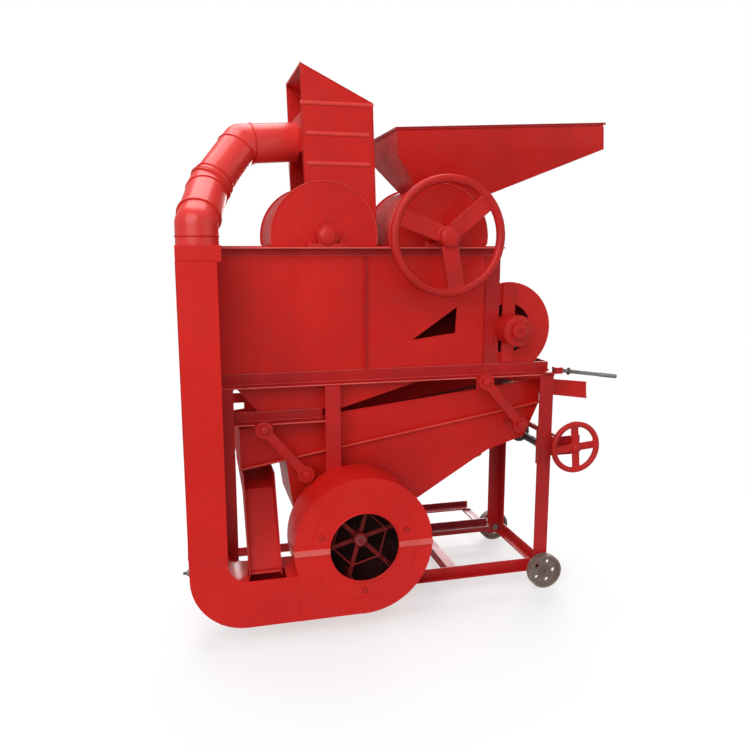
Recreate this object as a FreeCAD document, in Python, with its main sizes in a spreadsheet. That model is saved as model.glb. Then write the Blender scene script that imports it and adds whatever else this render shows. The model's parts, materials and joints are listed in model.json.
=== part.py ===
# Peanut sheller: two shelling drums on a sheet-metal box, a vibrating gravity sieve below,
# and a blower whose duct and pipe lift unshelled pods back to the second drum.
# Millimetres, +Z up, +X towards the kernel outlet, origin on the ground under the middle.
import FreeCAD, Part
import math
import os
import re
import Sketcher

# Driving dimensions. Heights are above the ground, x is along the machine, y across it.
sizes = {
    # frame of angle iron
    "frame_left": -568, "frame_length": 1011, "frame_depth": 370,
    "leg_width": 45, "iron": 4, "leg_clear": 30,
    "table_height": 684, "table_web": 32,
    "base_height": 49, "base_width": 30,
    "cross_one_x": -203, "cross_mid_x": -62, "cross_two_x": 118,
    "hanger_drop": 105, "hanger_web": 28, "post_x": -268,
    "foot_size": 70, "foot_thick": 6,
    "motor_rail_width": 40, "motor_rail_web": 22, "motor_rail_one_y": 100,
    "motor_rail_pitch": 190, "motor_rail_end": 375, "motor_bar": 6,
    "motor_x": 240, "slot_pitch": 140, "slot_length": 40, "slot_width": 11,
    # wheels
    "wheel_radius": 54, "wheel_width": 25, "wheel_rim": 8, "wheel_web": 8, "hub_radius": 16,
    "hub_length": 30, "axle_radius": 8, "axle_inset": 16, "wheel_gap": 2,
    "wheel_hole": 6.5, "wheel_hole_circle": 31, "nut_radius": 11, "nut_height": 8,
    # shelling box
    "sheet": 3, "box_right": 272, "box_top": 1065,
    "window_left": 2, "window_low": 796, "window_right": 140, "window_top": 890,
    "window_step": 813, "window_foot": 136,
    "seam_x": -140, "seam_width": 4, "seam_depth": 10, "pan_x": -520, "pan_end": -210,
    "rim_flange": 40, "rim_web": 20,
    # drums
    "drum_rise": 30, "drum_radius": 147, "main_x": 81, "second_x": -255, "end_lip": 3,
    "shaft_radius": 17.5, "shaft_hole": 22, "rotor_radius": 112, "rotor_disc": 6,
    "rotor_bar": 22, "rotor_clear": 15, "concave_radius": 124, "concave_rod": 4, "concave_ring": 8,
    "opening_half": 134, "opening_inset": 8,
    # hopper
    "hopper_x": 160, "hopper_rise": 110, "throat_left": 105, "throat_right": 65,
    "throat_depth": 140, "pyramid_height": 126, "band_height": 75, "hopper_left": 196, "hopper_right": 447,
    "hopper_depth": 280, "hopper_tilt": 3.3, "hopper_wall": 2.5,
    # tower over the second drum
    "tower_top_left": -317, "tower_peak": 1550, "tower_top_right": -117, "tower_eave": 1454,
    "tower_foot_right": -105, "tower_foot_left": -308, "tower_sheet": 3, "vent_height": 122,
    # lifting pipe
    "pipe_radius": 54, "pipe_wall": 3, "pipe_entry_y": -10, "pipe_entry_z": 1362,
    "pipe_turn_x": -471, "pipe_low_turn": 1150, "elbow_radius": 75, "socket_radius": 58,
    "socket_length": 26,
    # lifting duct and blower
    "duct_width": 100, "duct_depth": 142, "duct_left": -660, "duct_top": 1029, "collar_top": 1070,
    "duct_low": 52, "duct_high": 183, "duct_outer_bend": 150, "duct_inner_bend": 55,
    "feed_left": -504, "feed_right": -404, "feed_front": 110,
    "blower_x": -188, "blower_z": 248, "blower_radius": 196, "inlet_radius": 98,
    "split_flange": 5, "split_bar": 8, "blade_radius": 170, "blade_length": 62, "blade_width": 96,
    "arm_width": 12, "arm_thick": 6, "impeller_hub": 20, "blower_shaft": 12,
    # wind fan under the sieve
    "wind_radius": 120, "wind_depth": 200, "wind_inlet": 60, "wind_neck": 140, "wind_neck_top": 390,
    "wind_blade": 98, "wind_leg": 60,
    # cleaning fan
    "fan_x": 305, "fan_z": 822, "fan_radius": 140, "fan_inlet": 75, "fan_blade": 112,
    "fan_shaft": 12, "fan_housing": 46, "fan_housing_length": 74,
    # bearings
    "bearing_height": 30, "bearing_depth": 34, "bearing_radius": 30, "bearing_foot": 110,
    "bearing_base": 10, "stand_inset": 2, "fit": 0.05, "flange_bearing": 28, "flange_bearing_length": 31,
    "flange_plate": 10, "flange_plate_height": 110, "flange_plate_width": 40,
    # pulleys and belts behind the machine
    "pulley_width": 24, "groove_width": 14, "groove_depth": 12, "belt_width": 13.2,
    "belt_thick": 9, "belt_gap": 0.4, "belt_clear": 20, "belt_pitch": 25, "motor_pitch": 45,
    "shaft_tail": 32, "tail_radius": 14, "tail_relief": 2,
    "pulley_main_fan": 90, "pulley_fan": 45, "pulley_main_second": 80, "pulley_second": 80,
    "pulley_second_blower": 100, "pulley_blower": 40, "pulley_blower_sieve": 30,
    "pulley_sieve": 75, "pulley_motor": 120,
    # big handwheel on the main shaft
    "handwheel_radius": 170, "handwheel_rim": 13, "handwheel_clear": 35, "handwheel_hub": 30,
    "handwheel_hub_length": 50, "spoke_width": 50, "spoke_thick": 12,
    # sieve
    "sieve_left": -506, "sieve_right": 425, "sieve_drop": 144, "sieve_rise": 150,
    "sieve_side_left": 118, "sieve_side_right": 74, "sieve_clear": 12, "sieve_sheet": 3,
    "sieve_flange": 10, "screen_lift": 30, "screen_thick": 2, "tray_length": 167,
    "tray_rise": 177, "tray_fall": 24, "tray_side": 52,
    "wind_box_left": -376, "wind_box_right": 377, "wind_box_end_rise": 44, "wind_box_knee_x": 255,
    "wind_box_knee_rise": 7, "wind_box_mouth_x": 20, "wind_box_mouth_drop": 135, "wind_box_mouth_left": -355,
    # rocker arms
    "rocker_left_x": -443, "rocker_hang": 13, "rocker_right_x": 213, "rocker_run": 115,
    "rocker_drop": 136, "rocker_boss": 24, "rocker_bar": 27, "rocker_thick": 16, "pin_radius": 8,
    "pin_fit": 0.08, "lug_width": 50, "lug_height": 34, "lug_thick": 4, "rocker_gap": 2,
    # sieve drive
    "sieve_shaft_x": 421, "sieve_shaft_rise": 20, "throw": 5, "cam_radius": 24, "cam_width": 24,
    "cam_ring": 9, "pitman_drop": 50, "pitman_length": 156, "pitman_eye": 27, "pitman_slack": 10.5,
    "pitman_height": 22, "ear_thick": 6, "ear_gap": 20,
    # chute from the sieve to the duct
    "chute_left": -502, "chute_width": 90, "chute_rear_y": 125, "chute_rear_drop": 23,
    "chute_bend_y": -110, "chute_bend_drop": 58, "chute_low_y": -268, "chute_low": 176,
    "chute_lip": 19, "chute_gap": 7, "chute_brim_y": -154, "chute_foot": 34,
    # tilt handwheel and rod at the kernel end
    "tilt_x": 516, "tilt_z": 452, "tilt_radius": 82, "tilt_rim": 9, "tilt_clear": 19,
    "tilt_hub": 16, "tilt_shaft": 10, "tilt_plate": 60, "tilt_spoke": 24,
    "rod_x": 441, "rod_rise": 12, "rod_radius": 6, "rod_length": 221, "rod_slope": 8,
    "eye_radius": 12, "eye_width": 16,
    # fasteners
    "bolt_head": 7, "bolt_thick": 5,
}

# Places worked out from the driving dimensions.
places = {
    "frame_right": "frame_left + frame_length",
    "frame_front": "-frame_depth / 2",
    "frame_rear": "frame_depth / 2",
    "box_front": "frame_front + leg_width",
    "box_rear": "frame_rear - leg_width",
    "box_left": "frame_left + iron",
    "box_depth": "frame_depth - 2 * leg_width",
    "table_under": "table_height - iron",
    "rim_under": "box_top - iron",
    "rim_low": "rim_under - rim_web",
    "drum_height": "box_top + drum_rise",
    "bar_length": "box_depth - 2 * rotor_clear",
    "opening_depth": "box_rear - opening_inset",
    "hopper_low": "drum_height + hopper_rise",
    "tower_vent_low": "tower_peak - vent_height",
    "hanger_height": "table_height - hanger_drop",
    "stand_reach": "box_rear - stand_inset",
    "belt_plane_one": "frame_rear + belt_clear",
    "belt_plane_two": "belt_plane_one + belt_pitch",
    "belt_plane_three": "belt_plane_two + belt_pitch",
    "motor_plane": "belt_plane_three + motor_pitch",
    "shaft_rear": "motor_plane + shaft_tail",
    "handwheel_y": "frame_front - handwheel_clear",
    "tilt_y": "frame_front - tilt_clear",
    "rod_y": "frame_front + iron",
    "rod_z": "table_height + rod_rise",
    "sieve_low": "hanger_height - sieve_drop",
    "sieve_width": "box_depth - 2 * sieve_clear",
    "tray_floor": "sieve_low + tray_rise",
    "tray_lip": "tray_floor - tray_fall",
    "wind_box_end": "sieve_low + wind_box_end_rise",
    "wind_box_knee": "sieve_low + wind_box_knee_rise",
    "wind_box_mouth": "sieve_low - wind_box_mouth_drop",
    "rocker_left_z": "hanger_height - rocker_hang",
    "sieve_shaft_z": "sieve_low + sieve_shaft_rise",
    "chute_brim": "sieve_low - chute_gap",
    "chute_rear": "chute_brim - chute_rear_drop",
    "chute_bend": "chute_brim - chute_bend_drop",
    "deck_top": "box_top + sheet",
    "base_top": "base_height + base_width",
    "rail_under": "base_top + motor_bar",
    "wheel_x": "frame_right - axle_inset",
    "duct_front": "frame_front - duct_depth",
    "duct_right": "duct_left + duct_width",
    "duct_middle_x": "duct_left + duct_width / 2",
    "duct_middle_y": "frame_front - duct_depth / 2",
    "blower_left": "blower_x - blower_radius",
    "blower_right": "blower_x + blower_radius",
    "tower_half": "box_depth / 2 - sheet - 1",
    "sieve_front": "-sieve_width / 2",
    "sieve_length": "sieve_right - sieve_left",
    "sieve_slope": "sieve_rise / sieve_length",
    "chute_right": "chute_left + chute_width",
    "rocker_length": "sqrt(rocker_run * rocker_run + rocker_drop * rocker_drop)",
    "rocker_right_z": "rocker_left_z + (rocker_right_x - rocker_left_x) * sieve_slope",
    "pin_front": "frame_front - lug_thick",
    "rocker_front": "pin_front - rocker_gap - rocker_thick",
    "bearing_front": "box_front - iron - 1 - bearing_depth",
    "pedestal_top": "blower_z - bearing_height",
    "pitman_x": "sieve_shaft_x - pitman_length",
}

doc = FreeCAD.newDocument("peanut_sheller")
sheet = doc.addObject("Spreadsheet::Sheet", "Sizes")
for row, (word, number) in enumerate(sizes.items(), 1):
    sheet.set("A%d" % row, str(number))
    sheet.setAlias("A%d" % row, word)
doc.recompute()

nodes = []


def full(text):
    """The expression for the sheet that a text of size and place words stands for."""
    def swap(match):
        word = match.group()
        if word in sizes:
            return "Sizes." + word
        if word in places:
            return "(" + full(places[word]) + ")"
        return word
    return re.sub(r"[a-z][a-z_]*", swap, str(text))


def value(text):
    return float(sheet.evalExpression(full(text)))


def bind(item, **links):
    for name, text in links.items():
        item.setExpression(name.replace("__", "."), full(text))
    return item


def move(item, x=0, y=0, z=0):
    return bind(item, Placement__Base__x=x, Placement__Base__y=y, Placement__Base__z=z)


def add(kind, name):
    return doc.addObject(kind, name)


def block(name, x, y, z, length, depth, height):
    item = bind(add("Part::Box", name), Length=length, Width=depth, Height=height)
    return move(item, x, y, z)


turns = {"X": ((0, 1, 0), 90), "Y": ((1, 0, 0), -90), "Z": ((0, 0, 1), 0)}


def rod(name, axis, radius, length, x, y, z):
    """A cylinder that starts at x, y, z and runs along +axis."""
    item = bind(add("Part::Cylinder", name), Radius=radius, Height=length)
    direction, angle = turns[axis]
    item.Placement = FreeCAD.Placement(
        FreeCAD.Vector(), FreeCAD.Rotation(FreeCAD.Vector(*direction), angle))
    return move(item, x, y, z)


def bolt(name, x, y, z, axis="Y"):
    """A hexagon bolt head that stands on its face along +axis."""
    item = bind(add("Part::Prism", name), Circumradius="bolt_head", Height="bolt_thick")
    item.Polygon = 6
    direction, angle = turns[axis]
    item.Placement = FreeCAD.Placement(
        FreeCAD.Vector(), FreeCAD.Rotation(FreeCAD.Vector(*direction), angle))
    return move(item, x, y, z)


def fuse(name, *parts):
    item = add("Part::MultiFuse", name)
    item.Shapes = list(parts)
    return item


def common(name, *parts):
    item = add("Part::MultiCommon", name)
    item.Shapes = list(parts)
    return item


def cut(name, base, *tools):
    for index, tool in enumerate(tools):
        last = index == len(tools) - 1
        item = add("Part::Cut", name if last else "%s_cut%d" % (name, index))
        item.Base = base
        item.Tool = tool
        base = item
    return base


def group(name, *parts):
    item = add("Part::Compound", name)
    item.Links = list(parts)
    return item


def keep(item, label):
    """Names a finished sub-part."""
    item.Label = label
    nodes.append(item)
    return item


def draw(sketch, points):
    """A closed line through the points, each tied to its own pair of expressions."""
    first = sketch.GeometryCount
    spots = [FreeCAD.Vector(value(u), value(v), 0) for u, v in points]
    for index, spot in enumerate(spots):
        sketch.addGeometry(Part.LineSegment(spot, spots[(index + 1) % len(spots)]))
    for index, (u, v) in enumerate(points):
        edge = first + index
        before = first + (index - 1) % len(points)
        sketch.addConstraint(Sketcher.Constraint("Coincident", before, 2, edge, 1))
        for kind, text, number in (("DistanceX", u, spots[index].x), ("DistanceY", v, spots[index].y)):
            place = sketch.addConstraint(Sketcher.Constraint(kind, -1, 1, edge, 1, number))
            sketch.setExpression("Constraints[%d]" % place, full(text))


def sketch_on(body, plane, name):
    sketch = body.newObject("Sketcher::SketchObject", name)
    side = [item for item in body.Origin.OriginFeatures if item.Role == plane + "_Plane"][0]
    sketch.AttachmentSupport = [(side, "")]
    sketch.MapMode = "FlatFace"
    return sketch


def plate(name, plane, start, thickness, points, *holes):
    """A padded outline: in XZ it runs from y = start, in YZ from x = start, in XY from z = start."""
    body = add("PartDesign::Body", name)
    sketch = sketch_on(body, plane, name + "_outline")
    draw(sketch, points)
    for hole in holes:
        draw(sketch, hole)
    pad = body.newObject("PartDesign::Pad", name + "_pad")
    pad.Profile = sketch
    bind(pad, Length=thickness)
    if plane == "XZ":
        move(body, 0, "%s + %s" % (start, thickness), 0)
    elif plane == "YZ":
        move(body, start, 0, 0)
    else:
        move(body, 0, 0, start)
    return body


def turned(name, points, x, y, z):
    """A body turned about a Y axis through x, z; its points are radius and distance from y."""
    body = add("PartDesign::Body", name)
    sketch = sketch_on(body, "XY", name + "_profile")
    draw(sketch, points)
    spin = body.newObject("PartDesign::Revolution", name + "_turn")
    spin.Profile = sketch
    spin.ReferenceAxis = (sketch, ["V_Axis"])
    spin.Angle = 360
    return move(body, x, y, z)


def spoke(name, angle, reach, length, thick, y, width, x, z):
    """A flat bar that points away from a Y axis through x, z, at an angle from +X towards +Z."""
    item = bind(add("Part::Box", name), Length=length, Width=width, Height=thick)
    item.Placement = FreeCAD.Placement(
        FreeCAD.Vector(), FreeCAD.Rotation(FreeCAD.Vector(0, 1, 0), -angle))
    across = "(%s) * cos(%s deg) + (%s) / 2 * sin(%s deg)" % (reach, angle, thick, angle)
    up = "(%s) * sin(%s deg) - (%s) / 2 * cos(%s deg)" % (reach, angle, thick, angle)
    return move(item, "%s + %s" % (x, across), y, "%s + %s" % (z, up))


def solid_part(name, shape):
    """A shape made in code from the sheet's numbers."""
    item = add("Part::Feature", name)
    item.Shape = shape
    return item


sides = (("front", "frame_front", "+"), ("rear", "frame_rear", "-"))
ends = (("left", "frame_left", "+"), ("right", "frame_right", "-"))


def angle_along_x(name, edge, sign, low, flange, web, left, length):
    """Angle iron along X: flange at the bottom from the edge inwards, web standing at its inner end."""
    points = [(edge, low), ("%s %s %s" % (edge, sign, flange), low),
              ("%s %s %s" % (edge, sign, flange), "%s + iron + %s" % (low, web)),
              ("%s %s (%s - iron)" % (edge, sign, flange), "%s + iron + %s" % (low, web)),
              ("%s %s (%s - iron)" % (edge, sign, flange), "%s + iron" % low),
              (edge, "%s + iron" % low)]
    return plate(name, "YZ", left, length, points)


def angle_along_y(name, edge, sign, low, flange, web, front, length):
    """Angle iron along Y: flange at the bottom, web standing at its outer edge."""
    inner = "%s %s %s" % (edge, sign, flange)
    skin = "%s %s iron" % (edge, sign)
    top = "%s + iron + %s" % (low, web)
    points = [(edge, low), (inner, low), (inner, "%s + iron" % low), (skin, "%s + iron" % low),
              (skin, top), (edge, top)]
    return plate(name, "XZ", front, length, points)


# Frame: legs, table rails, hangers, base rails, feet.
legs = []
for end, edge_x, sign_x in ends:
    for side, edge_y, sign_y in sides:
        wide_x = "%s %s leg_width" % (edge_x, sign_x)
        thin_x = "%s %s iron" % (edge_x, sign_x)
        wide_y = "%s %s leg_width" % (edge_y, sign_y)
        thin_y = "%s %s iron" % (edge_y, sign_y)
        low = "foot_thick" if end == "left" else "leg_clear"
        leg = plate("leg_%s_%s_iron" % (side, end), "XY", low, "table_under - %s" % low,
                    [(edge_x, edge_y), (wide_x, edge_y), (wide_x, thin_y), (thin_x, thin_y),
                     (thin_x, wide_y), (edge_x, wide_y)])
        if end == "right":
            bore = rod("leg_%s_axle_hole" % side, "Y", "axle_radius", "leg_width * 2",
                       "wheel_x", "%s - leg_width" % edge_y, "wheel_radius")
            holes = [bore]
            if side == "rear":
                holes.append(rod("leg_shaft_hole", "Y", "blower_shaft + 3", "leg_width * 2",
                                 "sieve_shaft_x", "frame_rear - leg_width", "sieve_shaft_z"))
            leg = cut("leg_%s_%s" % (side, end), leg, *holes)
        legs.append(leg)
keep(group("legs_group", *legs), "legs")

table = []
base = []
hangers = []
for side, edge, sign in sides:
    table.append(angle_along_x("table_rail_%s" % side, edge, sign, "table_under", "leg_width",
                               "table_web", "frame_left", "frame_length"))
    base.append(angle_along_x("base_rail_%s" % side, edge, sign, "base_height", "base_width",
                              "base_width - iron", "frame_left + leg_width",
                              "frame_length - 2 * leg_width"))
    hangers.append(angle_along_x("hanger_rail_%s" % side, edge, sign, "hanger_height - iron",
                                 "leg_width", "hanger_web", "frame_left + leg_width",
                                 "post_x - frame_left - leg_width"))
    thin = "%s %s iron" % (edge, sign)
    wide = "%s %s leg_width" % (edge, sign)
    hangers.append(plate("hanger_post_%s" % side, "XY", "base_top", "table_under - base_top",
                         [("post_x", edge), ("post_x + leg_width", edge),
                          ("post_x + leg_width", wide), ("post_x + leg_width - iron", wide),
                          ("post_x + leg_width - iron", thin), ("post_x", thin)]))
for end, edge, sign in ends:
    table.append(angle_along_y("table_rail_%s" % end, edge, sign, "table_under", "leg_width",
                               "table_web", "box_front", "box_depth"))
    base.append(angle_along_y("base_rail_%s" % end, edge, sign, "base_height", "base_width",
                              "base_width - iron", "box_front", "box_depth"))
for word in ("cross_one_x", "cross_mid_x", "cross_two_x"):
    base.append(plate("base_" + word, "XZ", "frame_front + base_width",
                      "frame_depth - 2 * base_width",
                      [(word, "base_height"), (word + " + iron", "base_height"),
                       (word + " + iron", "base_top - iron"), (word + " + base_width", "base_top - iron"),
                       (word + " + base_width", "base_top"), (word, "base_top")]))
keep(group("table_rails_group", *table, *hangers), "table_rails")
keep(group("base_rails_group", *base), "base_rails")

feet = []
for side, edge, sign in sides:
    start = "frame_front - (foot_size - leg_width) / 2" if side == "front" else \
        "frame_rear - leg_width - (foot_size - leg_width) / 2"
    feet.append(block("foot_" + side, "frame_left - (foot_size - leg_width) / 2", start, 0,
                      "foot_size", "foot_size", "foot_thick"))
keep(group("feet_group", *feet), "foot_plates")

# Motor rails behind the machine, on three flat bars that lie across the base rails.
motor_rails = []
for index, left in enumerate(("cross_mid_x", "cross_two_x", "motor_rail_end - base_width")):
    motor_rails.append(block("motor_bar_%d" % index, left, "motor_rail_one_y", "base_top",
                             "base_width", "motor_rail_pitch + motor_rail_width", "motor_bar"))
for index in range(2):
    front = "motor_rail_one_y + %d * motor_rail_pitch" % index
    back = front + " + motor_rail_width"
    low = "rail_under"
    rail = plate("motor_rail_%d" % index, "YZ", "cross_mid_x", "motor_rail_end - cross_mid_x",
                 [(front, low), (back, low), (back, low + " + motor_rail_web"),
                  (back + " - iron", low + " + motor_rail_web"),
                  (back + " - iron", low + " + iron"), (front, low + " + iron")])
    slots = []
    for step in (-1, 1):
        middle = "motor_x + %d * slot_pitch / 2" % step
        line = front + " + (motor_rail_width - iron) / 2"
        bar = block("slot_bar_%d_%d" % (index, step), middle + " - (slot_length - slot_width) / 2",
                    line + " - slot_width / 2", low, "slot_length - slot_width",
                    "slot_width", "iron")
        tips = [rod("slot_tip_%d_%d_%d" % (index, step, tip), "Z", "slot_width / 2", "iron",
                    "%s + %d * (slot_length - slot_width) / 2" % (middle, tip), line, low)
                for tip in (-1, 1)]
        slots.append(fuse("slot_%d_%d" % (index, step), bar, *tips))
    motor_rails.append(cut("motor_rail_slotted_%d" % index, rail, *slots))
keep(group("motor_rails_group", *motor_rails), "motor_rails")

# Wheels at the kernel end, on stub axles through the legs.
axles = []
for side, edge, sign in sides:
    out = -1 if side == "front" else 1
    middle = "%s + %d * (wheel_gap + hub_length / 2)" % (edge, out)
    wheel = turned("wheel_disc_" + side,
                   [("axle_radius + fit", "-hub_length / 2"), ("hub_radius", "-hub_length / 2"),
                    ("hub_radius", "-wheel_web / 2"), ("wheel_radius - wheel_rim", "-wheel_web / 2"),
                    ("wheel_radius - wheel_rim", "-wheel_width / 2"), ("wheel_radius", "-wheel_width / 2"),
                    ("wheel_radius", "wheel_width / 2"), ("wheel_radius - wheel_rim", "wheel_width / 2"),
                    ("wheel_radius - wheel_rim", "wheel_web / 2"), ("hub_radius", "wheel_web / 2"),
                    ("hub_radius", "hub_length / 2"), ("axle_radius + fit", "hub_length / 2")],
                   "wheel_x", middle, "wheel_radius")
    holes = [rod("wheel_hole_%s_%d" % (side, turn), "Y", "wheel_hole", "wheel_width",
                 "wheel_x + wheel_hole_circle * cos(%d deg)" % turn, middle + " - wheel_width / 2",
                 "wheel_radius + wheel_hole_circle * sin(%d deg)" % turn)
             for turn in range(0, 360, 72)]
    keep(cut("wheel_cut_" + side, wheel, *holes), "wheel_" + side)
    span = "2 * wheel_gap + hub_length + iron + 2 * nut_height"
    tip = "%s - 2 * wheel_gap - hub_length - nut_height" % edge if out < 0 else \
        "%s - iron - nut_height" % edge
    shank = rod("axle_shank_" + side, "Y", "axle_radius", span, "wheel_x", tip, "wheel_radius")
    heads = [rod("axle_nut_%s_%d" % (side, far), "Y", "nut_radius", "nut_height", "wheel_x",
                 "%s + %d * (%s - nut_height)" % (tip, far, span), "wheel_radius")
             for far in (0, 1)]
    axles.append(fuse("axle_" + side, shank, *heads))
keep(group("axles_group", *axles), "wheel_axles")

# Shelling box of sheet steel on the table rails.
outline = [("box_left", "table_height"), ("box_right", "table_height"), ("box_right", "box_top"),
           ("box_left", "box_top")]
window = [("window_left", "window_low"), ("window_foot", "window_step"), ("window_right", "window_top")]
fan_place = rod("fan_place", "Y", "fan_radius", "frame_depth", "fan_x", "frame_front", "fan_z")
front_panel = plate("box_front_sheet", "XZ", "box_front", "sheet", outline, window)
box = [cut("box_front_cut", front_panel, fan_place)]
rear_panel = plate("box_rear_sheet", "XZ", "box_rear - sheet", "sheet", outline)
box.append(cut("box_rear_cut", rear_panel, fan_place))
box.append(block("box_left_sheet", "box_left", "box_front + sheet", "table_height", "sheet",
                 "box_depth - 2 * sheet", "box_top - table_height"))
box.append(block("box_right_sheet", "box_right - sheet", "box_front + sheet", "fan_z + fan_radius",
                 "sheet", "box_depth - 2 * sheet", "box_top - fan_z - fan_radius"))
deck = block("deck_sheet", "box_left", "box_front", "box_top", "box_right - box_left", "box_depth",
             "sheet")
deck_holes = [block("deck_hole_" + drum, "%s_x - opening_half" % drum, "-opening_depth", "box_top",
                    "2 * opening_half", "2 * opening_depth", "sheet") for drum in ("main", "second")]
box.append(cut("deck_cut", deck, *deck_holes))
keep(group("box_group", *box), "box_panels")

rims = []
strips = []
for side, edge, sign in sides:
    inner = "box_front" if side == "front" else "box_rear"
    back = "-" if side == "front" else "+"
    lip = "%s %s rim_flange" % (inner, back)
    skin = "%s %s iron" % (inner, back)
    rim = plate("rim_iron_" + side, "YZ", "box_left", "box_right - box_left",
                [(lip, "rim_under"), (skin, "rim_under"), (skin, "rim_low"), (inner, "rim_low"),
                 (inner, "box_top"), (lip, "box_top")])
    rims.append(rim)
    near = "box_front - iron" if side == "front" else "box_rear"
    upright = block("upright_" + side, "box_right - leg_width + 2", near, "table_height + table_web",
                    "leg_width", "iron", "rim_low - table_height - table_web")
    seam_y = "box_front - seam_depth" if side == "front" else "box_rear"
    seam = block("seam_" + side, "seam_x - seam_width / 2", seam_y, "table_height + table_web",
                 "seam_width", "seam_depth", "rim_low - table_height - table_web")
    strips += [upright, seam]
keep(group("rims_group", *rims, *strips), "box_rims")


# Collecting pan under the box: it narrows the fall onto the sieve.
pan_low = "hanger_height + 24"
pan_left = plate("pan_left", "XZ", "box_front + sheet", "box_depth - 2 * sheet",
                 [("pan_x", "table_height"), ("pan_x + 69", pan_low), ("pan_x + 73", pan_low),
                  ("pan_x + 4", "table_height")])
pan_right = plate("pan_right", "XZ", "box_front + sheet", "box_depth - 2 * sheet",
                  [("pan_end", pan_low), ("pan_end + 395", "table_height + 36"),
                   ("pan_end + 395", "table_height + 39"), ("pan_end", pan_low + " + sheet")])
pan_sides = [plate("pan_side_" + side, "XZ", start, "sheet",
                   [("pan_x + 3", "table_height"), ("pan_x + 71", pan_low), ("pan_end", pan_low),
                    ("pan_end + 280", "table_height")])
             for side, start in (("front", "box_front + sheet"), ("rear", "box_rear - 2 * sheet"))]
keep(fuse("pan_fuse", pan_left, pan_right, *pan_sides), "collecting_pan")

# Drums: end plates, concaves of round rods, hoods.
ring_places = ("-bar_length / 2 - 5", "-concave_ring / 2", "bar_length / 2 + 5 - concave_ring")
drum_ends = []
concaves = []
for drum in ("main", "second"):
    x = drum + "_x"
    plates = []
    for side, start in (("front", "box_front"), ("rear", "box_rear - sheet")):
        disc = rod("drum_disc_%s_%s" % (drum, side), "Y", "drum_radius + end_lip", "sheet", x,
                   start, "drum_height")
        keeper = block("drum_keeper_%s_%s" % (drum, side), x + " - 2 * drum_radius", start,
                       "deck_top", "4 * drum_radius", "sheet", "2 * drum_radius")
        hole = rod("drum_hole_%s_%s" % (drum, side), "Y", "shaft_hole", "sheet", x, start,
                   "drum_height")
        plates.append(cut("drum_end_%s_%s" % (drum, side),
                          common("drum_half_%s_%s" % (drum, side), disc, keeper), hole))
    drum_ends += plates

    pieces = []
    for index, start in enumerate(ring_places):
        outer = rod("ring_outer_%s_%d" % (drum, index), "Y", "concave_radius + 2 * concave_rod",
                    "concave_ring", x, start, "drum_height")
        inner = rod("ring_inner_%s_%d" % (drum, index), "Y", "concave_radius - concave_rod / 2",
                    "concave_ring", x, start, "drum_height")
        above = block("ring_above_%s_%d" % (drum, index), x + " - 2 * drum_radius", start,
                      "deck_top + 10", "4 * drum_radius", "concave_ring", "2 * drum_radius")
        ears = [block("ring_ear_%s_%d_%d" % (drum, index, way),
                      x + (" + concave_radius + 2" if way > 0 else " - opening_half - 6"), start,
                      "deck_top", "opening_half + 4 - concave_radius", "concave_ring", "8")
                for way in (-1, 1)]
        pieces.append(fuse("ring_%s_%d" % (drum, index),
                           cut("ring_half_%s_%d" % (drum, index), outer, inner, above), *ears))
    for turn in range(195, 350, 10):
        pieces.append(rod("concave_%s_%d" % (drum, turn), "Y", "concave_rod", "bar_length + 10",
                          "%s + concave_radius * cos(%d deg)" % (x, turn), "-bar_length / 2 - 5",
                          "drum_height + concave_radius * sin(%d deg)" % turn))
    concaves.append(fuse("concave_" + drum, *pieces))

    shell = rod("hood_outer_" + drum, "Y", "drum_radius", "box_depth - 2 * sheet", x,
                "box_front + sheet", "drum_height")
    bore = rod("hood_inner_" + drum, "Y", "drum_radius - sheet", "box_depth - 2 * sheet", x,
               "box_front + sheet", "drum_height")
    below = block("hood_below_" + drum, x + " - 2 * drum_radius", "box_front",
                  "drum_height - 2 * drum_radius", "4 * drum_radius", "box_depth",
                  "deck_top - drum_height + 2 * drum_radius")
    if drum == "main":
        mouth = block("hood_mouth_main", "hopper_x - throat_left + hopper_wall",
                      "-throat_depth / 2 + hopper_wall", "drum_height + 12",
                      "throat_left + throat_right - 2 * hopper_wall", "throat_depth - 2 * hopper_wall",
                      "2 * drum_radius")
    else:
        mouth = block("hood_mouth_second", "second_x - 45", "-tower_half + 10", "drum_height + 12",
                      "170", "2 * tower_half - 20", "2 * drum_radius")
    keep(cut("hood_" + drum, shell, bore, below, mouth), drum + "_hood")
keep(group("drum_ends_group", *drum_ends), "drum_ends")
keep(group("concaves_group", *concaves), "concaves")

# Hopper: a tilted rectangular funnel on a throat over the right side of the main hood.
tilt = FreeCAD.Rotation(FreeCAD.Vector(0, 1, 0), -sizes["hopper_tilt"])
pivot = FreeCAD.Vector(value("hopper_x"), 0, value("hopper_low"))


def funnel(level_one, half_left, half_right, half_deep, level_two, left, right, deep, inset):
    """A tilted frustum between two rectangles, drawn in from each by the wall."""
    wires = []
    for level, first, second, half in ((level_one, half_left, half_right, half_deep),
                                       (level_two, left, right, deep)):
        corners = [(-first + inset, -half + inset), (second - inset, -half + inset),
                   (second - inset, half - inset), (-first + inset, half - inset)]
        points = [FreeCAD.Vector(a, b, level) for a, b in corners]
        wires.append(Part.makePolygon(points + [points[0]]))
    shape = Part.makeLoft(wires, True, True)
    shape.Placement = FreeCAD.Placement(pivot, tilt)
    return shape


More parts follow.
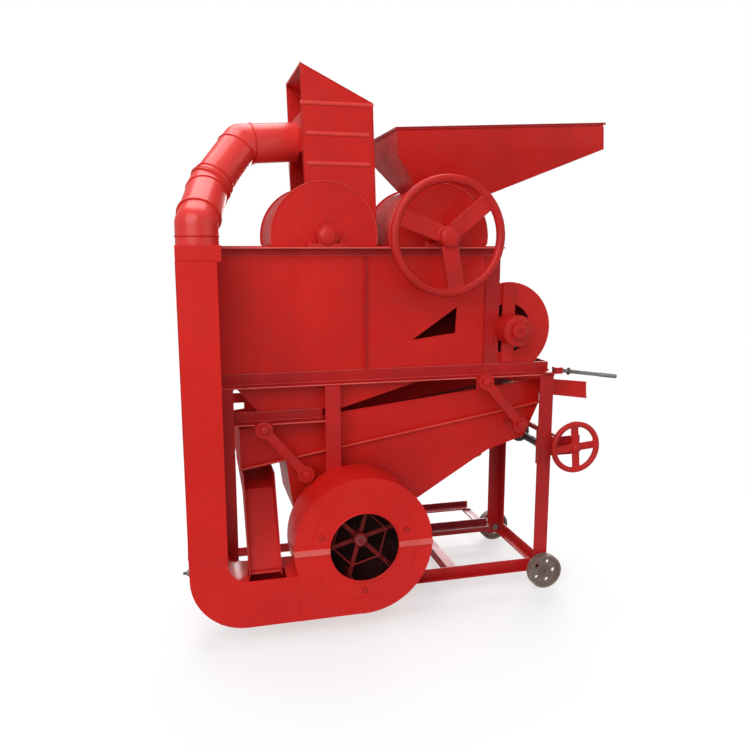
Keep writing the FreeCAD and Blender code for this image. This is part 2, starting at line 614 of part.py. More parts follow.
near = (sizes["throat_left"], sizes["throat_right"])
deep = value("throat_depth / 2")
wall = sizes["hopper_wall"]
rise = sizes["pyramid_height"]
brim = rise + sizes["band_height"]
wide = (sizes["hopper_left"], sizes["hopper_right"], sizes["hopper_depth"] / 2)
skin = [funnel(0, *near, deep, rise, *wide, inset) for inset in (0, wall)]
band = [funnel(rise, *wide, brim, *wide, inset) for inset in (0, wall)]
inner_band = funnel(rise, *wide, brim + 5, *wide, wall)
throat_low = value("drum_height + 8")
lean = near[1] * math.tan(math.radians(sizes["hopper_tilt"])) + wall
throat_box = Part.makeBox(sum(near), 2 * deep, pivot.z - throat_low + lean,
                          FreeCAD.Vector(pivot.x - near[0], -deep, throat_low))
throat_bore = Part.makeBox(sum(near) - 2 * wall, 2 * deep - 2 * wall, pivot.z - throat_low + 30,
                           FreeCAD.Vector(pivot.x - near[0] + wall, -deep + wall, throat_low - 10))
main_drum = Part.makeCylinder(sizes["drum_radius"], 2 * sizes["frame_depth"],
                              FreeCAD.Vector(value("main_x"), -sizes["frame_depth"],
                                             value("drum_height")), FreeCAD.Vector(0, 1, 0))
rim_lip = [funnel(brim - 7, *wide, brim, *wide, inset) for inset in (-5, 0)]
hollow = skin[1].fuse([band[1], inner_band, throat_bore])
solid = throat_box.fuse([skin[0], band[0], rim_lip[0].cut(rim_lip[1])]).cut(hollow).cut(main_drum)
keep(solid_part("hopper_shape", solid.removeSplitter()), "hopper")

# Tower: a tall box with a sloped roof, standing on the second hood.
tower_line = [("tower_foot_left", "drum_height + drum_radius - 12"), ("tower_foot_right", "deck_top"),
              ("tower_top_right", "tower_eave"), ("tower_top_left", "tower_peak")]
tower_drum = rod("tower_drum", "Y", "drum_radius", "frame_depth", "second_x", "frame_front",
                 "drum_height")
tower_body = plate("tower_body", "XZ", "-tower_half", "2 * tower_half", tower_line)
tower_core = plate("tower_core", "XZ", "-tower_half + tower_sheet", "2 * tower_half - 2 * tower_sheet",
                   [("tower_foot_left + 3", "drum_height - drum_radius"),
                    ("tower_foot_right - 3", "deck_top - 20"),
                    ("tower_top_right - 3", "tower_eave - 2"),
                    ("tower_top_left + 3", "tower_peak - 5")])
tower_vent = block("tower_vent", "tower_top_left - 20", "-tower_half + tower_sheet",
                   "tower_vent_low", "26", "2 * tower_half - 2 * tower_sheet",
                   "tower_peak - tower_vent_low - 8")
tower_bore = rod("tower_bore", "X", "pipe_radius + 1", "60", "tower_top_left - 30", "pipe_entry_y",
                 "pipe_entry_z")
keep(cut("tower_cut", tower_body, tower_core, tower_drum, tower_vent, tower_bore), "tower")

# Lifting pipe: straight runs with round elbows between them, from the duct to the tower.


def spot(*numbers):
    return FreeCAD.Vector(*numbers)


duct_x = value("duct_middle_x")
duct_y = value("duct_middle_y")
tower_x = sizes["tower_top_left"] + 5
path = [spot(tower_x, sizes["pipe_entry_y"], sizes["pipe_entry_z"]),
        spot(sizes["pipe_turn_x"], sizes["pipe_entry_y"] - 26, sizes["pipe_entry_z"] - 14),
        spot(-566, -130, 1222), spot(-604, duct_y, 1122), spot(-604, duct_y, sizes["duct_top"] + 3)]


def run(radius):
    """The path as one solid of the given radius, with balls at its turns."""
    first, second = path[0], path[1]
    lead = Part.makeCylinder(radius, (first - second).Length + 20, second, first - second)
    shape = lead
    for start, end in zip(path[1:], path[2:]):
        shape = shape.fuse(Part.makeCylinder(radius, (end - start).Length, start, end - start))
    for turn in path[1:-1]:
        shape = shape.fuse(Part.makeSphere(radius, turn))
    return shape


outer = run(sizes["pipe_radius"])
inner = run(sizes["pipe_radius"] - sizes["pipe_wall"])
end_bore = Part.makeCylinder(sizes["pipe_radius"] - sizes["pipe_wall"], 30,
                             path[-1] + spot(0, 0, -10), spot(0, 0, 1))
tower_side = Part.makeBox(300, 400, 400, spot(tower_x + 2, -200, sizes["pipe_entry_z"] - 200))
pipe = outer.cut(inner).cut(end_bore).cut(tower_side)
slope = (path[2] - path[1]).normalize()
joint = path[2] - slope * 12
flanges = []
for way in (-1, 1):
    start = joint if way > 0 else joint - slope * 5
    flanges.append(Part.makeCylinder(sizes["socket_radius"], 5, start, slope))
last = (path[3] - path[2]).normalize()
bead = Part.makeCylinder(sizes["socket_radius"], 6, path[3] - last * 36, last)
upper_side = Part.makeCylinder(400, 900, joint, slope * -1)
core = run(sizes["pipe_radius"] - sizes["pipe_wall"])
keep(solid_part("pipe_upper", pipe.fuse(flanges[0]).cut(core).common(upper_side)), "pipe_upper")
keep(solid_part("pipe_lower", pipe.cut(upper_side).fuse([flanges[1], bead]).cut(core).cut(end_bore)),
     "pipe_lower")
collar = Part.makeBox(112, 118, value("collar_top - duct_top"),
                      spot(sizes["duct_left"], duct_y - 59, sizes["duct_top"]))
collar_bore = Part.makeCylinder(sizes["pipe_radius"], 80, path[-1] + spot(0, 0, -20), spot(0, 0, 1))
collar_shape = collar.cut(collar_bore)
keep(solid_part("collar_shape", collar_shape), "duct_collar")

# Lifting duct: a rectangular channel with a rounded corner at the foot.


def channel(inset, top, end, depth_inset):
    """The duct's profile, drawn in from its outer line, as a solid across the duct."""
    left, right = value("duct_left") + inset, value("duct_right") - inset
    low, high = value("duct_low") + inset, value("duct_high") - inset
    big = sizes["duct_outer_bend"] - inset
    small = sizes["duct_inner_bend"] + inset
    front = value("duct_front") + depth_inset
    bend = spot(left + big, front, low + big)
    turn = spot(right + small, front, high + small)
    diagonal = math.sqrt(0.5)
    points = [spot(left, front, top), spot(left, front, low + big), spot(left + big, front, low),
              spot(end, front, low), spot(end, front, high), spot(right + small, front, high),
              spot(right, front, high + small), spot(right, front, top)]
    edges = [Part.makeLine(points[0], points[1]),
             Part.Arc(points[1], bend + spot(-big * diagonal, 0, -big * diagonal),
                      points[2]).toShape(),
             Part.makeLine(points[2], points[3]), Part.makeLine(points[3], points[4]),
             Part.makeLine(points[4], points[5]),
             Part.Arc(points[5], turn + spot(-small * diagonal, 0, -small * diagonal),
                      points[6]).toShape(),
             Part.makeLine(points[6], points[7]), Part.makeLine(points[7], points[0])]
    face = Part.Face(Part.Wire(edges))
    return face.extrude(spot(0, sizes["duct_depth"] - 2 * depth_inset, 0))


blower = spot(sizes["blower_x"], value("duct_front"), sizes["blower_z"])
snout_x = sizes["blower_x"] - math.sqrt(sizes["blower_radius"] ** 2
                                        - (sizes["blower_z"] - sizes["duct_high"]) ** 2)
gauge = sizes["sheet"]
duct = channel(0, sizes["duct_top"], snout_x, 0).cut(
    channel(gauge, sizes["duct_top"] + 10, snout_x + 10, gauge))
feed = Part.makeBox(sizes["feed_right"] - sizes["feed_left"], 66, 20,
                    spot(sizes["feed_left"], value("duct_front") + 5, sizes["duct_high"] - 10))
keep(solid_part("duct_shape", duct.cut(feed)), "lift_duct")

# Lifting blower casing, split at the height of its shaft.


def scroll(inset, depth_inset, reach):
    """The casing's round and its snout, drawn in from the outside."""
    depth = sizes["duct_depth"] - 2 * depth_inset
    start = blower + spot(0, depth_inset, 0)
    disc = Part.makeCylinder(sizes["blower_radius"] - inset, depth, start, spot(0, 1, 0))
    low = sizes["duct_low"] + inset
    high = sizes["duct_high"] - inset
    snout = Part.makeBox(blower.x - snout_x + reach, depth, high - low,
                         spot(snout_x - reach, start.y, low))
    return disc.fuse(snout)


casing = scroll(0, 0, 0).cut(scroll(gauge, gauge, 5))
mouth = Part.makeCylinder(sizes["inlet_radius"], 20, blower + spot(0, -10, 0), spot(0, 1, 0))
shaft_way = Part.makeCylinder(sizes["blower_shaft"] + 3, 20,
                              spot(blower.x, value("frame_front") - 10, blower.z), spot(0, 1, 0))
lip = Part.makeCylinder(sizes["inlet_radius"] + 4, gauge, blower, spot(0, 1, 0)).cut(mouth)
casing = casing.cut(mouth).cut(shaft_way)
for name, way in (("upper", 1), ("lower", -1)):
    keeper = Part.makeBox(900, 400, 400, spot(-700, -400, blower.z if way > 0 else blower.z - 400))
    bars = []
    for left in (blower.x - sizes["blower_radius"], blower.x + sizes["inlet_radius"]):
        bars.append(Part.makeBox(sizes["blower_radius"] - sizes["inlet_radius"],
                                 sizes["split_flange"], sizes["split_bar"],
                                 spot(left, blower.y - sizes["split_flange"],
                                      blower.z if way > 0 else blower.z - sizes["split_bar"])))
    keep(solid_part("blower_casing_%s_shape" % name, casing.common(keeper).fuse(bars)),
         "blower_casing_" + name)

# Feed chute: it catches the unshelled pods under the sieve's low end and leads them to the duct.
chute_floor = [("chute_rear_y", "chute_rear"), ("chute_bend_y", "chute_bend"),
               ("chute_low_y", "chute_low"), ("chute_low_y + sheet + 1", "chute_low"),
               ("chute_bend_y + sheet", "chute_bend - sheet"),
               ("chute_rear_y", "chute_rear - sheet")]
chute_wall = [("chute_rear_y", "chute_rear"), ("chute_bend_y", "chute_bend"),
              ("chute_low_y", "chute_low"), ("chute_low_y - chute_lip", "chute_low"),
              ("chute_brim_y", "chute_brim"), ("chute_rear_y", "chute_brim")]
chute = [plate("chute_floor", "YZ", "chute_left", "chute_width", chute_floor)]
for name, start in (("left", "chute_left"), ("right", "chute_right - sheet")):
    chute.append(plate("chute_wall_" + name, "YZ", start, "sheet", chute_wall))
chute.append(block("chute_rear", "chute_left", "chute_rear_y - sheet", "chute_rear - sheet",
                   "chute_width", "sheet", "chute_brim - chute_rear + sheet"))
chute.append(block("chute_foot", "chute_left", "chute_low_y + sheet + 1", "duct_high",
                   "chute_width", "chute_foot", "sheet"))
keep(fuse("chute_fuse", *chute), "feed_chute")

# Wind fan casing under the sieve, on the blower's shaft.
wind_outer = fuse("wind_outer",
                  rod("wind_round", "Y", "wind_radius", "wind_depth", "blower_x",
                      "-wind_depth / 2", "blower_z"),
                  block("wind_neck_box", "blower_x - wind_neck / 2", "-wind_depth / 2", "blower_z",
                        "wind_neck", "wind_depth", "wind_neck_top - blower_z"))
wind_inner = fuse("wind_inner",
                  rod("wind_round_in", "Y", "wind_radius - sheet", "wind_depth - 2 * sheet",
                      "blower_x", "-wind_depth / 2 + sheet", "blower_z"),
                  block("wind_neck_in", "blower_x - wind_neck / 2 + sheet",
                        "-wind_depth / 2 + sheet", "blower_z", "wind_neck - 2 * sheet",
                        "wind_depth - 2 * sheet", "wind_neck_top - blower_z + 10"))
wind_inlet = rod("wind_inlet", "Y", "wind_inlet", "2 * wind_depth", "blower_x", "-wind_depth",
                 "blower_z")
wind_shell = cut("wind_shell", wind_outer, wind_inner, wind_inlet)
wind_feet = [cut("wind_foot_cut_%d" % index,
                 block("wind_foot_%d" % index, "cross_one_x", start, "base_top", "base_width", "20",
                       "blower_z - wind_radius - base_top + 6"),
                 rod("wind_foot_tool_%d" % index, "Y", "wind_radius - 1", "20", "blower_x", start,
                     "blower_z"))
             for index, start in enumerate(("-80", "60"))]
keep(fuse("wind_fuse", wind_shell, *wind_feet), "wind_fan_casing")

# Cleaning fan beside the main drum.
fan_outer = rod("fan_outer", "Y", "fan_radius", "box_depth - 4", "fan_x", "box_front + 2", "fan_z")
fan_inner = rod("fan_inner", "Y", "fan_radius - sheet", "box_depth - 4 - 2 * sheet", "fan_x",
                "box_front + 2 + sheet", "fan_z")
fan_inlet = rod("fan_inlet", "Y", "fan_inlet", "frame_depth", "fan_x", "frame_front", "fan_z")
fan_outlet = block("fan_outlet", "fan_x - fan_radius", "box_front + 2 + sheet", "fan_z - 60",
                   "70", "box_depth - 4 - 2 * sheet", "120")
keep(cut("fan_cut", fan_outer, fan_inner, fan_inlet, fan_outlet), "fan_casing")

housings = []
for side, face, out in (("front", "box_front + 2", -1), ("rear", "box_rear - 2", 1)):
    strap = block("fan_strap_" + side, "fan_x - 20", face if out > 0 else "%s - 8" % face,
                  "table_height + table_web + 2", "40", "8",
                  "fan_z + fan_radius - 6 - table_height - table_web - 2")
    long = "fan_housing_length" if out < 0 else "bearing_depth"
    shell = rod("fan_housing_" + side, "Y", "fan_housing", long, "fan_x",
                "%s + 6" % face if out > 0 else "%s - 6 - %s" % (face, long), "fan_z")
    bore = rod("fan_bore_" + side, "Y", "fan_shaft + fit", "frame_depth", "fan_x",
               "0" if out > 0 else "-frame_depth", "fan_z")
    housings.append(cut("fan_bearing_" + side, fuse("fan_bearing_body_" + side, strap, shell), bore))
keep(group("fan_bearings_group", *housings), "fan_bearings")

# Pillow blocks and flange bearings.


def pillow(name, shaft, x, y, z):
    foot = block(name + "_foot", "%s - bearing_foot / 2" % x, y, "%s - bearing_height" % z,
                 "bearing_foot", "bearing_depth", "bearing_base")
    body = rod(name + "_body", "Y", "bearing_radius", "bearing_depth", x, y, z)
    bore = rod(name + "_bore", "Y", "%s + fit" % shaft, "bearing_depth", x, y, z)
    return cut(name, fuse(name + "_solid", foot, body), bore)


rear_bearing = "box_rear + iron + 1"
blocks = []
for drum in ("main", "second"):
    blocks.append(pillow("pillow_front_" + drum, "shaft_radius", drum + "_x", "bearing_front",
                         "drum_height"))
    blocks.append(pillow("pillow_rear_" + drum, "shaft_radius", drum + "_x", rear_bearing,
                         "drum_height"))

stands = []
low_blocks = []
for side, start in (("front", "-stand_reach"), ("rear", "stand_reach - bearing_depth")):
    stands.append(block("stand_" + side, "blower_x - 30", start, "base_top", "60",
                        "bearing_depth", "pedestal_top - base_top"))
    low_blocks.append(pillow("pillow_low_" + side, "blower_shaft", "blower_x", start, "blower_z"))
keep(group("stands_group", *stands), "bearing_stands")

flanged = []
for side, start in (("front", "frame_front + iron"), ("rear", "frame_rear - iron")):
    out = 1 if side == "front" else -1
    face = start if out > 0 else start + " - flange_plate"
    body = start if out > 0 else start + " - flange_bearing_length"
    flange = block("flange_plate_" + side, "frame_right - iron - flange_plate_width - 1", face,
                   "sieve_shaft_z - flange_plate_height / 2", "flange_plate_width", "flange_plate",
                   "flange_plate_height")
    boss = rod("flange_boss_" + side, "Y", "flange_bearing - 12", "flange_bearing_length",
               "sieve_shaft_x", body, "sieve_shaft_z")
    bore = rod("flange_bore_" + side, "Y", "blower_shaft + fit", "flange_bearing_length",
               "sieve_shaft_x", body, "sieve_shaft_z")
    flanged.append(cut("flange_bearing_" + side, fuse("flange_body_" + side, flange, boss), bore))
keep(group("bearings_group", *blocks, *low_blocks, *flanged), "bearings")

# Belts, each a loop round two pulleys.


def loop(one, radius_one, two, radius_two, thickness, start, width):
    """A ring that follows the outer tangents of two circles in the XZ plane."""
    solids = []
    for extra in (thickness, 0):
        first, second = radius_one + extra, radius_two + extra
        run_x, run_z = two[0] - one[0], two[1] - one[1]
        length = math.hypot(run_x, run_z)
        lean = math.atan2(run_z, run_x)
        open_angle = math.acos((first - second) / length)
        marks = []
        for centre, radius in ((one, first), (two, second)):
            for side in (1, -1):
                angle = lean + side * open_angle
                marks.append(spot(centre[0] + radius * math.cos(angle), start,
                                  centre[1] + radius * math.sin(angle)))
        far_one = spot(one[0] - first * math.cos(lean), start, one[1] - first * math.sin(lean))
        far_two = spot(two[0] + second * math.cos(lean), start, two[1] + second * math.sin(lean))
        edges = [Part.Arc(marks[0], far_one, marks[1]).toShape(), Part.makeLine(marks[1], marks[3]),
                 Part.Arc(marks[3], far_two, marks[2]).toShape(), Part.makeLine(marks[2], marks[0])]
        solids.append(Part.Face(Part.Wire(edges)).extrude(spot(0, width, 0)))
    return solids[0].cut(solids[1])


main_at = (sizes["main_x"], value("drum_height"))
second_at = (sizes["second_x"], value("drum_height"))
fan_at = (sizes["fan_x"], sizes["fan_z"])
blower_at = (sizes["blower_x"], sizes["blower_z"])
sieve_at = (sizes["sieve_shaft_x"], value("sieve_shaft_z"))
drives = [
    ("main_fan", main_at, "pulley_main_fan", fan_at, "pulley_fan", "belt_plane_one"),
    ("blower_sieve", blower_at, "pulley_blower_sieve", sieve_at, "pulley_sieve", "belt_plane_one"),
    ("main_second", main_at, "pulley_main_second", second_at, "pulley_second", "belt_plane_two"),
    ("second_blower", second_at, "pulley_second_blower", blower_at, "pulley_blower",
     "belt_plane_three"),
]
belts = []
for name, one, radius_one, two, radius_two, plane in drives:
    sink = sizes["groove_depth"] - sizes["belt_gap"]
    shape = loop(one, sizes[radius_one] - sink, two, sizes[radius_two] - sink,
                 sizes["belt_thick"], value(plane) - sizes["belt_width"] / 2, sizes["belt_width"])
    belts.append(solid_part("belt_" + name, shape))
keep(group("belts_group", *belts), "belts")


def pulley(name, radius, x, plane, z, bore):
    groove = "groove_width / 2"
    return turned(name, [(bore, "-pulley_width / 2"), (radius, "-pulley_width / 2"),
                         (radius, "-" + groove), ("%s - groove_depth" % radius, "-" + groove),
                         ("%s - groove_depth" % radius, groove), (radius, groove),
                         (radius, "pulley_width / 2"), (bore, "pulley_width / 2")], x, plane, z)


# Main shaft with its rotor, pulleys and the big handwheel.
main_shaft = fuse("main_shaft_turned",
                  rod("main_shaft_rod", "Y", "shaft_radius",
                      "motor_plane + pulley_width / 2 - handwheel_y + 20", "main_x",
                      "handwheel_y - 20", "drum_height"),
                  rod("main_shaft_neck", "Y", "tail_radius - tail_relief", "shaft_rear - motor_plane",
                      "main_x", "motor_plane", "drum_height"),
                  rod("main_shaft_tail", "Y", "tail_radius",
                      "shaft_rear - motor_plane - pulley_width / 2 - tail_relief", "main_x",
                      "motor_plane + pulley_width / 2 + tail_relief", "drum_height"))
keep(main_shaft, "main_shaft")
keep(rod("second_shaft_rod", "Y", "shaft_radius", "belt_plane_three + 15 - bearing_front + 4",
         "second_x", "bearing_front - 4", "drum_height"), "second_shaft")


def rotor(drum):
    x = drum + "_x"
    parts = [cut("rotor_disc_cut_%s_%d" % (drum, index),
                 rod("rotor_disc_%s_%d" % (drum, index), "Y", "rotor_radius - rotor_bar",
                     "rotor_disc", x, start, "drum_height"),
                 rod("rotor_disc_bore_%s_%d" % (drum, index), "Y", "shaft_radius", "rotor_disc", x,
                     start, "drum_height"))
             for index, start in enumerate(("-bar_length / 2 + 10", "-rotor_disc / 2",
                                            "bar_length / 2 - 10 - rotor_disc"))]
    for turn in range(22, 382, 60):
        parts.append(spoke("rotor_bar_%s_%d" % (drum, turn), turn,
                           "rotor_radius - rotor_bar - 4", "rotor_bar + 3", "14",
                           "-bar_length / 2", "bar_length", x, "drum_height"))
    return fuse("rotor_fuse_" + drum, *parts)


keep(rotor("main"), "main_rotor")
keep(rotor("second"), "second_rotor")

rim = bind(add("Part::Torus", "handwheel_ring"), Radius1="handwheel_radius - handwheel_rim",
           Radius2="handwheel_rim")
rim.Placement = FreeCAD.Placement(spot(0, 0, 0), FreeCAD.Rotation(spot(1, 0, 0), 90))
move(rim, "main_x", "handwheel_y", "drum_height")
hub = cut("handwheel_hub_cut",
          rod("handwheel_hub_body", "Y", "handwheel_hub", "handwheel_hub_length", "main_x",
              "handwheel_y - 20", "drum_height"),
          rod("handwheel_hub_bore", "Y", "shaft_radius", "handwheel_hub_length", "main_x",
              "handwheel_y - 20", "drum_height"))
arms = [spoke("handwheel_arm_%d" % index, turn, "handwheel_hub - 4",
              "handwheel_radius - handwheel_rim - handwheel_hub + 2", "spoke_width",
              "handwheel_y - spoke_thick / 2", "spoke_thick", "main_x", "drum_height")
        for index, turn in enumerate((160, 40, 280))]
keep(fuse("handwheel_fuse", rim, hub, *arms), "handwheel")
keep(group("main_pulleys_group",
           pulley("pulley_a", "pulley_main_fan", "main_x", "belt_plane_one", "drum_height",
                  "shaft_radius"),
           pulley("pulley_b", "pulley_main_second", "main_x", "belt_plane_two", "drum_height",
                  "shaft_radius"),
           pulley("pulley_c", "pulley_motor", "main_x", "motor_plane", "drum_height",
                  "shaft_radius")), "main_pulleys")
keep(group("second_pulleys_group",
           pulley("pulley_d", "pulley_second", "second_x", "belt_plane_two", "drum_height",
                  "shaft_radius"),
           pulley("pulley_e", "pulley_second_blower", "second_x", "belt_plane_three",
                  "drum_height", "shaft_radius")), "second_pulleys")

# Cleaning fan's shaft and impeller.
keep(rod("fan_shaft_rod", "Y", "fan_shaft", "belt_plane_one + 13 + frame_depth / 2 + 29",
         "fan_x", "-frame_depth / 2 - 29", "fan_z"), "fan_shaft")
keep(pulley("pulley_f", "pulley_fan", "fan_x", "belt_plane_one", "fan_z", "fan_shaft"), "fan_pulley")


def impeller(name, x, z, shaft, hub_radius, start, width, reach, blade, turns, thick):
    """A hub with flat paddles that stand out from it."""
    hub = cut(name + "_hub_cut", rod(name + "_hub", "Y", hub_radius, width, x, start, z),
              rod(name + "_bore", "Y", shaft, width, x, start, z))
    paddles = [spoke("%s_paddle_%d" % (name, turn), turn, "%s - 2" % hub_radius,
                     "%s - %s + 2" % (reach, hub_radius), thick, start, width, x, z)
               for turn in turns]
    return fuse(name, hub, *paddles)


keep(impeller("fan_impeller_fuse", "fan_x", "fan_z", "fan_shaft", "impeller_hub",
              "-box_depth / 2 + 12", "box_depth - 24", "fan_blade", 0, range(10, 370, 72), "3"),
     "fan_impeller")

# Blower shaft with the lifting impeller in front and the wind impeller under the sieve.
blade_y = "duct_middle_y"
keep(rod("blower_shaft_rod", "Y", "blower_shaft", "belt_plane_three + 15 - duct_middle_y + 24",
         "blower_x", "duct_middle_y - 24", "blower_z"), "blower_shaft")
hub = cut("lift_hub_cut",
          rod("lift_hub", "Y", "impeller_hub", "40", "blower_x", blade_y + " - 20", "blower_z"),
          rod("lift_bore", "Y", "blower_shaft", "40", "blower_x", blade_y + " - 20", "blower_z"))
paddles = []
for turn in (15, 75, 135, 195, 255, 315):
    paddles.append(spoke("lift_arm_%d" % turn, turn, "impeller_hub - 3",
                         "blade_radius - impeller_hub + 3", "arm_width",
                         blade_y + " - arm_thick / 2", "arm_thick", "blower_x", "blower_z"))
    paddles.append(spoke("lift_paddle_%d" % turn, turn, "blade_radius - blade_length",
                         "blade_length", "4", blade_y + " - blade_width / 2", "blade_width",
                         "blower_x", "blower_z"))
keep(fuse("lift_fuse", hub, *paddles), "lift_impeller")
keep(impeller("wind_impeller_fuse", "blower_x", "blower_z", "blower_shaft", "impeller_hub",
              "-wind_depth / 2 + 12", "wind_depth - 24", "wind_blade", 0, range(30, 390, 90), "3"),
     "wind_impeller")
keep(group("blower_pulleys_group",
           pulley("pulley_g", "pulley_blower_sieve", "blower_x", "belt_plane_one", "blower_z",
                  "blower_shaft"),
           pulley("pulley_h", "pulley_blower", "blower_x", "belt_plane_three", "blower_z",
                  "blower_shaft")), "blower_pulleys")

# Sieve drive: shaft with an eccentric disc, and the rod to the sieve.
keep(fuse("eccentric_fuse",
          rod("drive_shaft_rod", "Y", "blower_shaft", "belt_plane_one + 13 + frame_depth / 2 - 8",
              "sieve_shaft_x", "-frame_depth / 2 + 8", "sieve_shaft_z"),
          rod("cam_disc", "Y", "cam_radius", "cam_width", "sieve_shaft_x", "-cam_width / 2",
              "sieve_shaft_z + throw")), "eccentric_shaft")
keep(pulley("pulley_i", "pulley_sieve", "sieve_shaft_x", "belt_plane_one", "sieve_shaft_z",
            "blower_shaft"), "sieve_drive_pulley")
pitman_z = "sieve_shaft_z + throw"
eye_z = "sieve_shaft_z + throw - pitman_drop"
pin_z = "sieve_shaft_z - pitman_drop"
big = rod("pitman_ring", "Y", "cam_radius + cam_ring", "pitman_height", "sieve_shaft_x",
          "-pitman_height / 2", pitman_z)
small = rod("pitman_small", "Y", "pitman_eye", "pitman_height", "pitman_x", "-pitman_height / 2",
            eye_z)
bar = plate("pitman_bar", "XZ", "-pitman_height / 2 + 4", "pitman_height - 8",
            [("pitman_x", eye_z + " - 12"), ("sieve_shaft_x", pitman_z + " - 12"),
             ("sieve_shaft_x", pitman_z + " + 12"), ("pitman_x", eye_z + " + 12")])
keep(cut("pitman_cut", fuse("pitman_body", big, small, bar),
         rod("pitman_bore", "Y", "cam_radius + pin_fit", "pitman_height", "sieve_shaft_x",
             "-pitman_height / 2", pitman_z),
         rod("pitman_eye_bore", "Y", "pin_radius + pitman_slack", "pitman_height", "pitman_x",
             "-pitman_height / 2", eye_z)), "pitman")

# Sieve: side plates, screen, wind box below, kernel tray at the high end.
rise_right = "sieve_low + sieve_rise"
side_line = [("sieve_left", "sieve_low"), ("sieve_right", rise_right),
             ("sieve_right", rise_right + " + sieve_side_right"),
             ("sieve_left", "sieve_low + sieve_side_left")]
flange_line = [("sieve_left", "sieve_low"), ("sieve_right", rise_right),
               ("sieve_right", rise_right + " + 4"), ("sieve_left", "sieve_low + 4")]
sieve = [plate("sieve_side_front", "XZ", "sieve_front", "sieve_sheet", side_line),
         plate("sieve_side_rear", "XZ", "-sieve_front - sieve_sheet", "sieve_sheet", side_line),
         plate("sieve_flange_front", "XZ", "sieve_front - sieve_flange", "sieve_flange", flange_line),
         plate("sieve_flange_rear", "XZ", "-sieve_front", "sieve_flange", flange_line),
         block("sieve_end_left", "sieve_left", "sieve_front", "sieve_low + 1", "sieve_sheet",
               "sieve_width", "sieve_side_left - 2"),
         block("sieve_end_right", "sieve_right - sieve_sheet", "sieve_front", rise_right,
               "sieve_sheet", "sieve_width", "screen_lift - 1")]
keep(fuse("sieve_fuse", *sieve), "sieve_box")
screen_left = "sieve_low + screen_lift + (chute_right - sieve_left) * sieve_slope"
keep(plate("screen_plate", "XZ", "sieve_front + sieve_sheet", "sieve_width - 2 * sieve_sheet",
           [("chute_right", screen_left), ("sieve_right", rise_right + " + screen_lift"),
            ("sieve_right", rise_right + " + screen_lift + screen_thick"),
            ("chute_right", screen_left + " + screen_thick")]), "sieve_screen")
tray_end = "sieve_right + tray_length"
tray = [plate("tray_floor", "XZ", "sieve_front", "sieve_width",
              [("sieve_right", "tray_floor"), (tray_end, "tray_lip"),
               (tray_end, "tray_lip + sieve_sheet"), ("sieve_right", "tray_floor + sieve_sheet")])]
for side, start in (("front", "sieve_front"), ("rear", "-sieve_front - sieve_sheet")):
    tray.append(plate("tray_side_" + side, "XZ", start, "sieve_sheet",
                      [("sieve_right", "tray_floor"), (tray_end, "tray_lip"),
                       (tray_end + " - 4", "tray_lip + tray_side"),
                       ("sieve_right", rise_right + " + sieve_side_right")]))
keep(fuse("tray_fuse", *tray), "kernel_tray")


def sieve_line(x):
    """The height of the sieve's underside at x."""
    return "sieve_low + (%s - sieve_left) * sieve_slope" % x


box_line = [("wind_box_left", sieve_line("wind_box_left")), ("sieve_right", rise_right),
            ("wind_box_right", "wind_box_end"), ("wind_box_knee_x", "wind_box_knee"),
            ("wind_box_mouth_x", "wind_box_mouth"), ("wind_box_mouth_left", "wind_box_mouth")]
core_line = [("wind_box_left + 2.5", sieve_line("wind_box_left") + " + 40"),
             ("sieve_right - 2.5", rise_right + " + 40"),
             ("sieve_right - 2.5", rise_right + " - 4"),
             ("wind_box_right - 2", "wind_box_end + 2"),
             ("wind_box_knee_x - 1", "wind_box_knee + 2.5"),
             ("wind_box_mouth_x - 3", "wind_box_mouth - 5"),
             ("wind_box_mouth_left + 2.2", "wind_box_mouth - 5"),
             ("wind_box_left + 2.5", sieve_line("wind_box_left"))]
keep(cut("wind_box_cut", plate("wind_box_body", "XZ", "sieve_front", "sieve_width", box_line),
         plate("wind_box_core", "XZ", "sieve_front + 2.5", "sieve_width - 5", core_line)), "wind_box")

ears = []
for start in ("-ear_gap", "ear_gap - ear_thick"):
    ears.append(plate("ear_" + ("front" if start[0] == "-" else "rear"), "XZ", start, "ear_thick",
                      [("pitman_x - 16", pin_z + " - 14"), ("pitman_x + 16", pin_z + " - 14"),
                       ("pitman_x + 16", "wind_box_knee + (pitman_x + 16 - wind_box_knee_x) * 37 / 122"),
                       ("wind_box_knee_x", "wind_box_knee"),
                       ("pitman_x - 16", "wind_box_knee - 3.6")]))
pin = rod("ear_pin", "Y", "pin_radius", "2 * ear_gap", "pitman_x", "-ear_gap", pin_z)
drive_ears = fuse("ear_fuse", pin, *ears)

